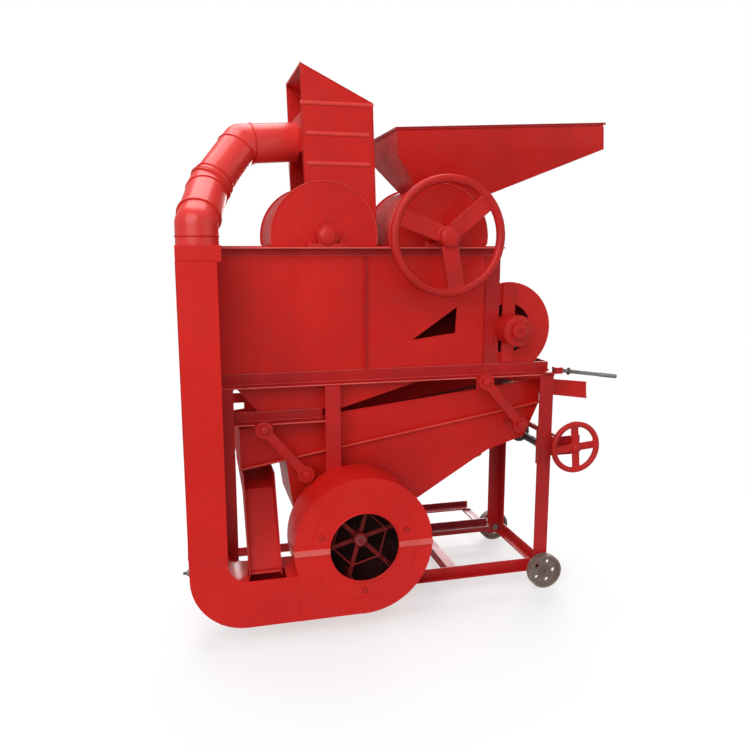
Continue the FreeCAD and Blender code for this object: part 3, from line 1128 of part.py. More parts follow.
# Rocker arms that carry the sieve, their lugs on the frame and their pins.
lugs = []
lower_pins = []
arms = {"left": [], "right": []}
nose = "rocker_front - rocker_gap - 4"
for end, x, z, lug_low in (("left", "rocker_left_x", "rocker_left_z", "hanger_height - lug_height"),
                           ("right", "rocker_right_x", "rocker_right_z",
                            "table_height - lug_height")):
    low_x = x + " + rocker_run"
    low_z = "(%s) - rocker_drop" % z
    nx = "rocker_bar / 2 * rocker_drop / rocker_length"
    nz = "rocker_bar / 2 * rocker_run / rocker_length"
    for side in ("front", "rear"):
        name = "%s_%s" % (end, side)

        def across(low, high):
            """Start and length along Y of a piece between two front-side places."""
            if side == "front":
                return low, "%s - (%s)" % (high, low)
            return "-(%s)" % high, "%s - (%s)" % (high, low)

        start, long = across("pin_front", "frame_front")
        lug = block("lug_" + name, x + " - lug_width / 2", start, lug_low, "lug_width", long,
                    "lug_height")
        start, long = across("rocker_front - rocker_gap", "pin_front")
        stud = rod("stud_" + name, "Y", "pin_radius", long, x, start, z)
        start, long = across(nose, "rocker_front - rocker_gap")
        cap = rod("stud_cap_" + name, "Y", "pin_radius + 5", long, x, start, z)
        lugs.append(fuse("lug_body_" + name, lug, stud, cap))
        start, long = across(nose + " + 2", "sieve_front")
        low_stud = rod("low_stud_" + name, "Y", "pin_radius", long, low_x, start, low_z)
        start, long = across(nose, "rocker_front - rocker_gap")
        low_cap = rod("low_cap_" + name, "Y", "pin_radius + 5", long, low_x, start, low_z)
        start, long = across("sieve_front - 4", "sieve_front")
        low_pad = rod("low_pad_" + name, "Y", "rocker_boss - 4", long, low_x, start, low_z)
        lower_pins.append(fuse("low_pin_" + name, low_stud, low_cap, low_pad))
        start, long = across("rocker_front", "rocker_front + rocker_thick")
        bosses = [rod("boss_%s_%d" % (name, index), "Y", "rocker_boss", long, px, start, pz)
                  for index, (px, pz) in enumerate(((x, z), (low_x, low_z)))]
        bores = [rod("boss_bore_%s_%d" % (name, index), "Y", "pin_radius + pin_fit", long, px,
                     start, pz) for index, (px, pz) in enumerate(((x, z), (low_x, low_z)))]
        web = plate("rocker_web_" + name, "XZ", start, long,
                    [("%s + %s" % (x, nx), "%s + %s" % (z, nz)),
                     ("%s - %s" % (x, nx), "%s - %s" % (z, nz)),
                     ("%s - %s" % (low_x, nx), "%s - %s" % (low_z, nz)),
                     ("%s + %s" % (low_x, nx), "%s + %s" % (low_z, nz))])
        arms[end].append(cut("rocker_" + name, fuse("rocker_body_" + name, web, *bosses), *bores))
keep(group("lugs_group", *lugs), "rocker_lugs")
keep(group("lower_pins_group", *lower_pins, drive_ears), "sieve_pins")
keep(group("left_rockers_group", *arms["left"]), "left_rockers")
keep(group("right_rockers_group", *arms["right"]), "right_rockers")

# Tilt handwheel on its cross shaft at the kernel end, and the sloping rod above it.
brackets = []
for side, start in (("front", "frame_front + 2 * iron"), ("rear", "frame_rear - 3 * iron")):
    bar = block("tilt_bar_" + side, "frame_right", start, "tilt_z - tilt_plate / 2",
                "tilt_x - frame_right + tilt_plate / 2", "iron", "tilt_plate")
    bore = rod("tilt_bore_" + side, "Y", "tilt_shaft + fit", "iron", "tilt_x", start, "tilt_z")
    brackets.append(cut("tilt_bracket_" + side, bar, bore))
tilt_shaft = rod("tilt_shaft_rod", "Y", "tilt_shaft", "frame_rear + 6 - tilt_y + 14", "tilt_x",
                 "tilt_y - 14", "tilt_z")
ring = bind(add("Part::Torus", "tilt_ring"), Radius1="tilt_radius - tilt_rim", Radius2="tilt_rim")
ring.Placement = FreeCAD.Placement(spot(0, 0, 0), FreeCAD.Rotation(spot(1, 0, 0), 90))
move(ring, "tilt_x", "tilt_y", "tilt_z")
hub = rod("tilt_hub_body", "Y", "tilt_hub", "18", "tilt_x", "tilt_y - 9", "tilt_z")
spokes = [spoke("tilt_spoke_%d" % turn, turn, "tilt_hub - 3", "tilt_radius - tilt_rim - tilt_hub",
                "tilt_spoke", "tilt_y - 4", "8", "tilt_x", "tilt_z") for turn in (5, 95, 185, 275)]
keep(fuse("tilt_wheel_fuse", ring, hub, tilt_shaft, *spokes), "tilt_handwheel")

eye_turn = FreeCAD.Rotation(spot(0, 1, 0), 90 + sizes["rod_slope"])
eye_base = block("eye_base", "rod_x - 35", "rod_y - eye_radius", "table_height", "62",
                 "2 * eye_radius", "6")
eye_block = block("eye_block", "rod_x + 3", "rod_y - eye_radius", "table_height", "24",
                  "2 * eye_radius", "rod_z - table_height + 8")
eye_bore = bind(add("Part::Cylinder", "eye_bore"), Radius="rod_radius + pin_fit", Height="120")
eye_bore.Placement = FreeCAD.Placement(spot(0, 0, 0), eye_turn)
move(eye_bore, "rod_x - 30", "rod_y", "rod_z + 30 * tan(rod_slope * 1 deg)")
rod_eye = cut("eye_cut", fuse("eye_body", eye_base, eye_block), eye_bore)
keep(group("brackets_group", *brackets, rod_eye), "end_brackets")
handle = bind(add("Part::Cylinder", "handle_rod"), Radius="rod_radius", Height="rod_length")
handle.Placement = FreeCAD.Placement(spot(0, 0, 0), eye_turn)
keep(move(handle, "rod_x", "rod_y", "rod_z"), "draw_rod")

# Bolt heads.
bolts = []
for turn in (18, 162, 270):
    bolts.append(bolt("casing_bolt_%d" % turn, "blower_x + 127 * cos(%d deg)" % turn,
                      "duct_front - bolt_thick", "blower_z + 127 * sin(%d deg)" % turn))
for drum in ("main", "second"):
    for way in (-1, 1):
        for side, y in (("front", "bearing_front + bearing_depth / 2"),
                        ("rear", rear_bearing + " + bearing_depth / 2")):
            bolts.append(bolt("pillow_bolt_%s_%s_%d" % (drum, side, way),
                              "%s_x + %d * 44" % (drum, way), y,
                              "drum_height - bearing_height + bearing_base", "Z"))
for side, y in (("front", "box_front - iron - bolt_thick"), ("rear", "box_rear + iron")):
    for index, z in enumerate(("table_height + 100", "rim_under - 60")):
        bolts.append(bolt("upright_bolt_%s_%d" % (side, index), "box_right - leg_width / 2 + 2", y, z))
keep(group("bolts_group", *bolts), "bolts")

doc.recompute()
for item in doc.Objects:
    if any(word in item.State for word in ("Invalid", "Error")):
        raise RuntimeError("%s did not rebuild: %s" % (item.Name, item.State))
os.makedirs("parts", exist_ok=True)
for item in nodes:
    shape = item.Shape
    if shape.isNull() or not shape.isValid() or not shape.Solids:
        raise RuntimeError("%s has no valid solid" % item.Label)
    shape.exportStep("parts/%s.step" % item.Label)
    print(item.Label, len(shape.Solids), [round(v, 1) for v in
          (shape.BoundBox.XMin, shape.BoundBox.XMax, shape.BoundBox.YMin, shape.BoundBox.YMax,
           shape.BoundBox.ZMin, shape.BoundBox.ZMax)])
print(len(nodes), "sub-parts")
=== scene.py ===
import json
import math

import bpy
from mathutils import Matrix, Vector

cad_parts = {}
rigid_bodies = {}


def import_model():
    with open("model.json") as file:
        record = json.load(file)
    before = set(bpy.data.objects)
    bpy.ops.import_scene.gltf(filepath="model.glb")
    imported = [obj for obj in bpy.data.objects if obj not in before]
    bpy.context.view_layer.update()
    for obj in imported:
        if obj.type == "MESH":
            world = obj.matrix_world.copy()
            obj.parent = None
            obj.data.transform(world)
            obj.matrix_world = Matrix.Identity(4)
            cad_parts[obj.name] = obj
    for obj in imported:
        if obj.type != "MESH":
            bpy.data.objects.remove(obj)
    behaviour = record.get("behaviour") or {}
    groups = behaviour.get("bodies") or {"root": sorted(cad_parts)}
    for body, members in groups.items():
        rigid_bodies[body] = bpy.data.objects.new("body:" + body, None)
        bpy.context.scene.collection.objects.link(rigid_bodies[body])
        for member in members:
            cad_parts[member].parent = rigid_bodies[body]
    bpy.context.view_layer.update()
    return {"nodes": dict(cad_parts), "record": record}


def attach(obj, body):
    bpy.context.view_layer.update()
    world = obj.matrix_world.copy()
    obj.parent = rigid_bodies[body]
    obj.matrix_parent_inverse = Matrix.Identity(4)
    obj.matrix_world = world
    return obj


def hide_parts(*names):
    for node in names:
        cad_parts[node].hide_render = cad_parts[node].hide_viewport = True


# Looks of a red sheet-metal peanut sheller: enamel, castings, turned shafts, belts, bolts.
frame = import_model()
bodyOf = {node: body for body, nodes in frame["record"]["behaviour"]["bodies"].items()
          for node in nodes}
print("frame loaded,", len(frame["nodes"]), "nodes")


# Picking and small shapes.

def clearPick():
    if bpy.context.mode != "OBJECT":
        bpy.ops.object.mode_set(mode="OBJECT")
    bpy.ops.object.select_all(action="DESELECT")


def pick(*objects):
    clearPick()
    for item in objects:
        item.select_set(True)
    bpy.context.view_layer.objects.active = objects[0]
    return objects[0]


def edit(item):
    pick(item)
    bpy.ops.object.mode_set(mode="EDIT")
    bpy.ops.mesh.select_all(action="SELECT")


def settle(item):
    # place, turn and scale go into the mesh
    pick(item)
    bpy.ops.object.transform_apply(location=True, rotation=True, scale=True)
    return item


def smooth(item, angle=32):
    pick(item)
    bpy.ops.object.shade_smooth_by_angle(angle=math.radians(angle))
    return item


def tidyFaces(item):
    edit(item)
    bpy.ops.mesh.remove_doubles(threshold=0.00001)
    bpy.ops.mesh.normals_make_consistent(inside=False)
    clearPick()
    return item


def roundEdges(item, width, segments=2, limit=38):
    bevel = item.modifiers.new("roundEdges", "BEVEL")
    bevel.width = width
    bevel.segments = segments
    bevel.limit_method = "ANGLE"
    bevel.angle_limit = math.radians(limit)
    bevel.harden_normals = False
    pick(item)
    bpy.ops.object.modifier_apply(modifier=bevel.name)
    return item


def join(name, parts):
    pick(*parts)
    if len(parts) > 1:
        bpy.ops.object.join()
    item = bpy.context.view_layer.objects.active
    item.name = name
    return item


def dropShape(kind, place, turn=(0, 0, 0), stretch=(1, 1, 1), **sizes):
    clearPick()
    getattr(bpy.ops.mesh, "primitive_%s_add" % kind)(location=place, rotation=turn, **sizes)
    item = bpy.context.view_layer.objects.active
    item.scale = stretch
    return settle(item)


def aim(direction):
    # the turn that takes +Z to a direction
    return Vector(direction).to_track_quat("Z", "Y").to_euler()


def barBetween(start, end, radius, sides=16):
    start, end = Vector(start), Vector(end)
    return dropShape("cylinder", (start + end) / 2, aim(end - start), vertices=sides,
                     radius=radius, depth=(end - start).length)


def lathe(name, profile, centre, steps=64, direction=(0, 1, 0)):
    # profile: radius and distance along the axis
    clearPick()
    bpy.ops.mesh.primitive_plane_add(size=0.001, location=(0, 0, 0))
    item = bpy.context.view_layer.objects.active
    edit(item)
    bpy.ops.mesh.merge(type="CENTER")
    bpy.ops.transform.translate(value=(profile[0][0], 0, profile[0][1]))
    for before, after in zip(profile, profile[1:]):
        step = (after[0] - before[0], 0, after[1] - before[1])
        bpy.ops.mesh.extrude_vertices_move(TRANSFORM_OT_translate={"value": step})
    bpy.ops.mesh.select_all(action="SELECT")
    bpy.ops.mesh.spin(steps=steps, angle=math.tau, center=(0, 0, 0), axis=(0, 0, 1))
    clearPick()
    tidyFaces(item)
    item.rotation_euler = aim(direction)
    item.location = centre
    item.name = name
    return settle(item)


# Finishes.

def startMaterial(name):
    material = bpy.data.materials.new(name)
    material.use_nodes = True
    tree = material.node_tree
    return material, tree, tree.nodes["Principled BSDF"]


def addNode(tree, kind, links=None, **values):
    node = tree.nodes.new("ShaderNode" + kind)
    for name, value in values.items():
        if name in node.inputs:
            node.inputs[name].default_value = value
        elif hasattr(node, name):
            setattr(node, name, value)
    for name, source in (links or {}).items():
        tree.links.new(source, node.inputs[name])
    return node


def noiseAt(tree, place, scale, detail=4, rough=0.55, stretch=(1, 1, 1)):
    mapping = addNode(tree, "Mapping", {"Vector": place})
    mapping.inputs["Scale"].default_value = stretch
    noise = addNode(tree, "TexNoise", {"Vector": mapping.outputs[0]}, Scale=scale, Detail=detail,
                    Roughness=rough)
    return noise.outputs[0]


def levelOf(tree, source, low, high, fromLow=0.3, fromHigh=0.7):
    node = addNode(tree, "MapRange", {"Value": source})
    node.inputs["From Min"].default_value = fromLow
    node.inputs["From Max"].default_value = fromHigh
    node.inputs["To Min"].default_value = low
    node.inputs["To Max"].default_value = high
    return node.outputs[0]


def mixColour(tree, factor, first, second, how="MIX"):
    node = tree.nodes.new("ShaderNodeMix")
    node.data_type = "RGBA"
    node.blend_type = how
    for index, value in ((0, factor), (6, first), (7, second)):
        if isinstance(value, (int, float)):
            node.inputs[index].default_value = value
        elif isinstance(value, tuple):
            node.inputs[index].default_value = (*value, 1)
        else:
            tree.links.new(value, node.inputs[index])
    return node.outputs[2]


def sumOf(tree, first, second, how="ADD"):
    node = addNode(tree, "Math", operation=how)
    for index, value in ((0, first), (1, second)):
        if isinstance(value, (int, float)):
            node.inputs[index].default_value = value
        else:
            tree.links.new(value, node.inputs[index])
    return node.outputs[0]


def bumpFrom(tree, shader, height, strength, distance):
    bump = addNode(tree, "Bump", {"Height": height}, Strength=strength, Distance=distance)
    tree.links.new(bump.outputs[0], shader.inputs["Normal"])


paintLook = {
    "sheetRed": dict(colour=(0.680, 0.011, 0.006), deep=(0.520, 0.007, 0.005), rough=(0.36, 0.52),
                     waves=0.0016, grain=0.00025, grainScale=900, dirt=0.16, chips=0.0, coat=0.14),
    "ironRed": dict(colour=(0.560, 0.012, 0.012), deep=(0.360, 0.008, 0.009), rough=(0.38, 0.56),
                    waves=0.0006, grain=0.0004, grainScale=700, dirt=0.30, chips=0.10, coat=0.15),
    "castRed": dict(colour=(0.640, 0.014, 0.011), deep=(0.410, 0.008, 0.007), rough=(0.38, 0.56),
                    waves=0.0008, grain=0.0011, grainScale=320, dirt=0.32, chips=0.08, coat=0.12),
    "ductRed": dict(colour=(0.720, 0.012, 0.007), deep=(0.600, 0.008, 0.005), rough=(0.34, 0.48),
                    waves=0.0020, grain=0.00022, grainScale=900, dirt=0.12, chips=0.0, coat=0.16),
    "pipeRed": dict(colour=(0.740, 0.042, 0.034), deep=(0.660, 0.026, 0.020), rough=(0.34, 0.46),
                    waves=0.0016, grain=0.00018, grainScale=900, dirt=0.10, chips=0.0, coat=0.45),
    # a paler red: painted highlight for ribs, weld beads, bands and pins that catch the light
    "highlightRed": dict(colour=(0.780, 0.070, 0.050), deep=(0.660, 0.030, 0.022), rough=(0.36, 0.50),
                    waves=0.0008, grain=0.0006, grainScale=500, dirt=0.12, chips=0.0, coat=0.15),
    # a pale red: painted highlight on the front edges of angle iron and on the casing's split
    # flanges
    "edgeHighlightRed": dict(colour=(0.800, 0.140, 0.120), deep=(0.680, 0.070, 0.060), rough=(0.36, 0.50),
                      waves=0.0006, grain=0.0005, grainScale=500, dirt=0.10, chips=0.0, coat=0.15),
    # a near-black red: painted shade in the hollow of the blower casing
    "hollowShadeRed": dict(colour=(0.055, 0.006, 0.005), deep=(0.020, 0.004, 0.004), rough=(0.6, 0.8),
                     waves=0.0008, grain=0.0006, grainScale=600, dirt=0.4, chips=0.0, coat=0.0),
    # a darker copy of the red paint: painted shade for parts inside the casings, with heavier grime
    "shadedInsideRed": dict(colour=(0.330, 0.014, 0.012), deep=(0.140, 0.010, 0.010), rough=(0.5, 0.75),
                      waves=0.0010, grain=0.0006, grainScale=600, dirt=0.55, chips=0.12, coat=0.0),
    "railRed": dict(colour=(0.300, 0.016, 0.020), deep=(0.170, 0.010, 0.014), rough=(0.36, 0.52),
                    waves=0.0006, grain=0.0005, grainScale=700, dirt=0.40, chips=0.12, coat=0.25),
}


def makePaint(name, look):
    material, tree, shader = startMaterial(name)
    place = addNode(tree, "TexCoord").outputs["Object"]
    broad = noiseAt(tree, place, 3.1, 3)
    cloudy = noiseAt(tree, place, 17, 5, 0.6)
    runs = noiseAt(tree, place, 26, 3, 0.6, (1, 1, 0.12))
    speck = noiseAt(tree, place, 240, 2)
    colour = mixColour(tree, levelOf(tree, broad, 0, 1), look["deep"], look["colour"])
    colour = mixColour(tree, levelOf(tree, runs, 0, 0.35, 0.42, 0.75), colour, look["deep"])
    grime = levelOf(tree, cloudy, 0, look["dirt"], 0.52, 0.78)
    colour = mixColour(tree, grime, colour, (0.105, 0.030, 0.024))
    dust = levelOf(tree, noiseAt(tree, place, 70, 6, 0.7), 0, look.get("dust", 0.03), 0.5, 0.8)
    colour = mixColour(tree, dust, colour, (0.62, 0.36, 0.30))
    if look["chips"]:
        chip = levelOf(tree, noiseAt(tree, place, 95, 7, 0.62), 0, 1, 0.695, 0.715)
        chip = sumOf(tree, chip, look["chips"] * 9, "MULTIPLY")
        colour = mixColour(tree, chip, colour, (0.060, 0.045, 0.042))
    tree.links.new(colour, shader.inputs["Base Color"])
    rough = levelOf(tree, cloudy, look["rough"][0], look["rough"][1], 0.35, 0.7)
    rough = sumOf(tree, rough, levelOf(tree, speck, -0.03, 0.05), "ADD")
    tree.links.new(rough, shader.inputs["Roughness"])
    shader.inputs["Coat Weight"].default_value = look["coat"]
    shader.inputs["Coat Roughness"].default_value = 0.18
    shader.inputs["Specular IOR Level"].default_value = 0.24
    dents = sumOf(tree, broad, look["waves"] * 2, "MULTIPLY")
    peel = sumOf(tree, noiseAt(tree, place, look["grainScale"], 2), look["grain"], "MULTIPLY")
    drips = sumOf(tree, runs, look["waves"] * 0.12, "MULTIPLY")
    height = sumOf(tree, sumOf(tree, dents, peel), drips)
    bumpFrom(tree, shader, height, 0.75, 1.0)
    return material


steelLook = {
    "turnedSteel": dict(light=(0.60, 0.59, 0.58), dark=(0.34, 0.32, 0.31), rust=0.10, rough=0.30),
    "wornSteel": dict(light=(0.42, 0.40, 0.38), dark=(0.17, 0.15, 0.14), rust=0.45, rough=0.46),
    "zincSteel": dict(light=(0.66, 0.63, 0.56), dark=(0.38, 0.35, 0.30), rust=0.16, rough=0.34),
    "darkCast": dict(light=(0.085, 0.083, 0.085), dark=(0.035, 0.034, 0.036), rust=0.22,
                     rough=0.55),
    "wheelIron": dict(light=(0.33, 0.255, 0.215), dark=(0.165, 0.115, 0.095), rust=0.35,
                      rough=0.60),
    "screenSteel": dict(light=(0.52, 0.50, 0.47), dark=(0.30, 0.28, 0.26), rust=0.20, rough=0.40),
}


def makeSteel(name, look):
    material, tree, shader = startMaterial(name)
    place = addNode(tree, "TexCoord").outputs["Object"]
    broad = noiseAt(tree, place, 9, 4)
    fine = noiseAt(tree, place, 900, 2, 0.5, (1, 0.05, 1))
    spots = noiseAt(tree, place, 60, 8, 0.68)
    colour = mixColour(tree, levelOf(tree, broad, 0, 1), look["dark"], look["light"])
    colour = mixColour(tree, levelOf(tree, fine, 0, 0.4), colour, look["dark"])
    rust = levelOf(tree, spots, 0, look["rust"] * 1.6, 0.52, 0.72)
    colour = mixColour(tree, rust, colour, (0.155, 0.060, 0.028))
    if name == "screenSteel":
        # round holes in a staggered pattern
        grid = addNode(tree, "Mapping", {"Vector": place})
        grid.inputs["Scale"].default_value = (125, 125, 0.001)
        grid.inputs["Rotation"].default_value = (0, 0, math.radians(45))
        cells = addNode(tree, "TexVoronoi", {"Vector": grid.outputs[0]}, Scale=1.0, Randomness=0.0)
        hole = levelOf(tree, cells.outputs["Distance"], 1, 0, 0.27, 0.31)
        colour = mixColour(tree, hole, colour, (0.012, 0.010, 0.010))
    tree.links.new(colour, shader.inputs["Base Color"])
    shader.inputs["Metallic"].default_value = 0.2 if name in ("darkCast", "wheelIron") else 0.85
    rough = levelOf(tree, spots, look["rough"] - 0.08, look["rough"] + 0.22, 0.35, 0.7)
    tree.links.new(rough, shader.inputs["Roughness"])
    deep = 0.0016 if name in ("darkCast", "wheelIron") else 0.0004
    height = sumOf(tree, sumOf(tree, spots, deep, "MULTIPLY"),
                   sumOf(tree, fine, 0.00008, "MULTIPLY"))
    bumpFrom(tree, shader, height, 0.7, 1.0)
    return material


def makeBeltRubber():
    material, tree, shader = startMaterial("beltRubber")
    place = addNode(tree, "TexCoord").outputs["Object"]
    weave = noiseAt(tree, place, 700, 3)
    dust = noiseAt(tree, place, 22, 5, 0.65)
    colour = mixColour(tree, levelOf(tree, dust, 0, 0.55), (0.014, 0.014, 0.015),
                       (0.075, 0.066, 0.06))
    tree.links.new(colour, shader.inputs["Base Color"])
    tree.links.new(levelOf(tree, weave, 0.62, 0.86), shader.inputs["Roughness"])
    bumpFrom(tree, shader, sumOf(tree, weave, 0.0005, "MULTIPLY"), 0.8, 1.0)
    return material


finishes = {name: makePaint(name, look) for name, look in paintLook.items()}
finishes.update({name: makeSteel(name, look) for name, look in steelLook.items()})
finishes["beltRubber"] = makeBeltRubber()
slotOf = {entry["node"]: entry["material_slot"] for entry in frame["record"]["subparts"]}
print("finishes ready,", len(finishes))


def paint(item, finish):
    item.data.materials.clear()
    item.data.materials.append(finishes[finish])
    return item


def hand(item, body, finish, slot, *nodes):
    # a finished piece: painted, riding on its body, standing for nodes
    if not item.data.materials or finish:
        paint(item, finish)
    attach(item, body)
    if nodes:
        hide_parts(*nodes)
    return item


# CAD nodes with rounded edges: finish and width in millimetres, 0 for edges left as cut.

dressing = {
    "legs": ("ironRed", 1.2), "table_rails": ("ironRed", 1.2), "base_rails": ("ironRed", 1.0),
    "motor_rails": ("railRed", 1.0), "foot_plates": ("ironRed", 1.2), "box_rims": ("ironRed", 0.9),
    "end_brackets": ("ironRed", 1.0), "bearing_stands": ("ironRed", 1.5),
    "rocker_lugs": ("castRed", 1.5), "bearings": ("castRed", 2.5), "fan_bearings": ("castRed", 2.2),
    "box_panels": ("sheetRed", 0), "collecting_pan": ("sheetRed", 0.7),
    "drum_ends": ("sheetRed", 0.8), "main_hood": ("sheetRed", 0.7),
    "second_hood": ("sheetRed", 0.7),
    "hopper": ("sheetRed", 0.6), "tower": ("sheetRed", 0.8), "duct_collar": ("ductRed", 1.2),
    "pipe_upper": ("pipeRed", 0.8), "pipe_lower": ("pipeRed", 0.8), "lift_duct": ("ductRed", 1.2),
    "blower_casing_upper": ("ductRed", 1.2), "blower_casing_lower": ("ductRed", 1.2),
    "wind_fan_casing": ("sheetRed", 0.9), "fan_casing": ("sheetRed", 0.9),
    "feed_chute": ("sheetRed", 0.7), "sieve_box": ("sheetRed", 0.7), "wind_box": ("sheetRed", 0.7),
    "kernel_tray": ("sheetRed", 0.7), "concaves": ("wornSteel", 0.5),
    "main_rotor": ("wornSteel", 0.8), "second_rotor": ("wornSteel", 0.8),
    "main_shaft": ("turnedSteel", 1.0), "second_shaft": ("castRed", 1.0),
    "fan_shaft": ("turnedSteel", 1.0), "blower_shaft": ("turnedSteel", 1.0),
    "eccentric_shaft": ("darkCast", 1.0), "wheel_axles": ("wheelIron", 1.0),
    "draw_rod": ("wornSteel", 0.8), "sieve_pins": ("castRed", 1.2),
    "fan_impeller": ("wornSteel", 0.6),
    # the lift impeller takes the darker red as painted shade inside its casing
    "lift_impeller": ("shadedInsideRed", 0.8), "wind_impeller": ("wornSteel", 0.6),
    "pitman": ("darkCast", 2.0), "left_rockers": ("castRed", 3.0),
    "right_rockers": ("castRed", 3.0),
    "belts": ("beltRubber", 0.8), "sieve_screen": ("screenSteel", 0.3),
    "wheel_front": ("wheelIron", 1.5), "wheel_rear": ("wheelIron", 1.5),
}


def dressCopy(node):
    # the node's mesh stays as it is; a merged copy of it is worked on
    pick(frame["nodes"][node])
    bpy.ops.object.duplicate()
    item = bpy.context.view_layer.objects.active
    bpy.ops.object.parent_clear(type="CLEAR_KEEP_TRANSFORM")
    settle(item)
    item.name = node + "Finished"
    edit(item)
    bpy.ops.mesh.remove_doubles(threshold=0.000005)
    bpy.ops.mesh.dissolve_limited(angle_limit=math.radians(0.6))
    clearPick()
    return item


def evenShading(item):
    # broad faces keep their flat shading beside the rounded edges
    weighted = item.modifiers.new("weighted", "WEIGHTED_NORMAL")
    weighted.keep_sharp = True
    pick(item)
    bpy.ops.object.modifier_apply(modifier=weighted.name)
    return item


def paintFaces(item, finish, chosen):
    item.data.materials.append(finishes[finish])
    index = len(item.data.materials) - 1
    for face in item.data.polygons:
        if chosen(face.center, face.normal):
            face.material_index = index


def paintHighlightEdges(item, slim):
    # the front edges of the angle iron, painted pale as a highlight
    item.data.materials.append(finishes["edgeHighlightRed"])
    for face in item.data.polygons:
        heights = [item.data.vertices[index].co.z for index in face.vertices]
        if face.normal.y < -0.6 and max(heights) - min(heights) < slim:
            face.material_index = 1


def dressNode(node, finish, width):
    item = dressCopy(node)
    if width:
        item = evenShading(smooth(roundEdges(item, width / 1000)))
    hand(item, bodyOf[node], finish, slotOf[node], node)
    if node in highlightEdgeLook:
        paintHighlightEdges(item, highlightEdgeLook[node])
    if node in hollowShadeLook:
        # the hollow of the casing is painted dark as shade, its split flanges are painted pale as a
        # highlight
        front, rear, x, z, radius, flange = hollowShadeLook[node]

        def inside(middle, normal):
            across = Vector((middle.x - x, 0, middle.z - z))
            return (front < middle.y < rear and across.length < radius
                    and (abs(normal.y) > 0.7 or across.dot(normal) < 0))
        paintFaces(item, "hollowShadeRed", inside)
        paintFaces(item, "edgeHighlightRed", lambda middle, normal: middle.y < flange)
    return item


# nodes whose slim front faces get the painted highlight, with the greatest height of such a face
highlightEdgeLook = {"table_rails": 0.0045, "box_rims": 0.0045, "sieve_box": 0.0045}
# blower casings: front, rear, centre x, centre z, radius of the hollow painted dark as shade, and
# the flange face in front of which faces get the painted highlight
hollowShadeLook = {"blower_casing_upper": (-0.3262, -0.181, -0.188, 0.248, 0.1955, -0.3285),
              "blower_casing_lower": (-0.3262, -0.181, -0.188, 0.248, 0.1955, -0.3285)}


for nodeName, (nodeFinish, edgeWidth) in dressing.items():
    if nodeName in frame["nodes"]:
        dressNode(nodeName, nodeFinish, edgeWidth)
print("CAD nodes dressed")

# Small helpers for the finished pieces.

def softCast(item, voxel, rounds):
    # corners run into each other as in a casting
    remesh = item.modifiers.new("remesh", "REMESH")
    remesh.mode = "VOXEL"
    remesh.voxel_size = voxel
    soften = item.modifiers.new("soften", "SMOOTH")
    soften.factor = 0.5
    soften.iterations = rounds
    pick(item)
    for name in ("remesh", "soften"):
        bpy.ops.object.modifier_apply(modifier=name)
    return smooth(item, 60)


def weldLine(start, end, radius=0.0026):
    # overlapping drops along a straight joint
    start, end = Vector(start), Vector(end)
    length = (end - start).length
    count = max(2, round(length / (radius * 1.5)))
    item = dropShape("uv_sphere", (0, 0, 0), stretch=(1, 1, 0.8), segments=7, ring_count=4,
                     radius=radius)
    row = item.modifiers.new("row", "ARRAY")
    row.use_relative_offset = False
    row.use_constant_offset = True
    row.constant_offset_displace = (0, 0, length / (count - 1))
    row.count = count
    pick(item)
    bpy.ops.object.modifier_apply(modifier=row.name)
    item.rotation_euler = aim(end - start)
    item.location = start
    return settle(item)


def weldArc(centre, radius, start, sweep, size=0.0026):
    # drops along an arc about a Y axis; angles from +X towards +Z
    first = Vector(centre) + Vector((radius * math.cos(start), 0, radius * math.sin(start)))
    item = dropShape("uv_sphere", first, segments=7, ring_count=4, radius=size)
    edit(item)
    bpy.ops.mesh.spin(steps=max(2, round(radius * abs(sweep) / (size * 1.5))), angle=sweep,
                      dupli=True, center=centre, axis=(0, 1, 0))
    clearPick()
    return item


def hexHead(place, direction, size=0.007, thick=0.005):
    # a hexagon head with its washer and a chamfered crown
    place, direction = Vector(place), Vector(direction)
    turn = aim(direction)
    washer = dropShape("cylinder", place + direction * 0.0007, turn, vertices=28,
                       radius=size * 1.3, depth=0.0014)
    body = dropShape("cylinder", place + direction * (thick / 2), turn, vertices=6, radius=size,
                     depth=thick)
    crown = dropShape("cone", place + direction * (thick + 0.0004), turn, vertices=28,
                      radius1=size * 0.86, radius2=size * 0.74, depth=0.0008)
    return roundEdges(join("hexHead", [washer, body, crown]), 0.0004, 1)


def stud(place, direction, radius, length, turns):
    # a threaded end, its thread as a row of rings
    place, direction = Vector(place), Vector(direction)
    rise = length / turns
    profile = [(0.0005, 0)]
    for step in range(turns):
        profile += [(radius * 0.84, step * rise), (radius, (step + 0.5) * rise)]
    profile += [(radius * 0.84, length), (radius * 0.6, length + 0.0008), (0.0005, length + 0.0008)]
    return lathe("stud", profile, place, 20, direction)


def greaseNipple(place, direction=(0, 0, 1)):
    return lathe("greaseNipple", [(0.0005, 0), (0.0042, 0), (0.0042, 0.004), (0.0026, 0.005),
                                  (0.0026, 0.008), (0.0034, 0.0095), (0.0030, 0.0118),
                                  (0.0012, 0.0126), (0.0005, 0.0126)], place, 18, direction)


# Bolts.

boltPlaces = dict(
    casingCentre=(-0.188, -0.327, 0.248), casingCircle=0.127, casingTurns=(18, 162, 270),
    drums=(0.081, -0.255), drumHeight=1.095, pillowFoot=0.020, pillowReach=0.044,
    pillowRows=(-0.162, 0.162), uprightX=0.2515, uprightFaces=(-0.144, 0.144),
    uprightHeights=(0.784, 1.001))


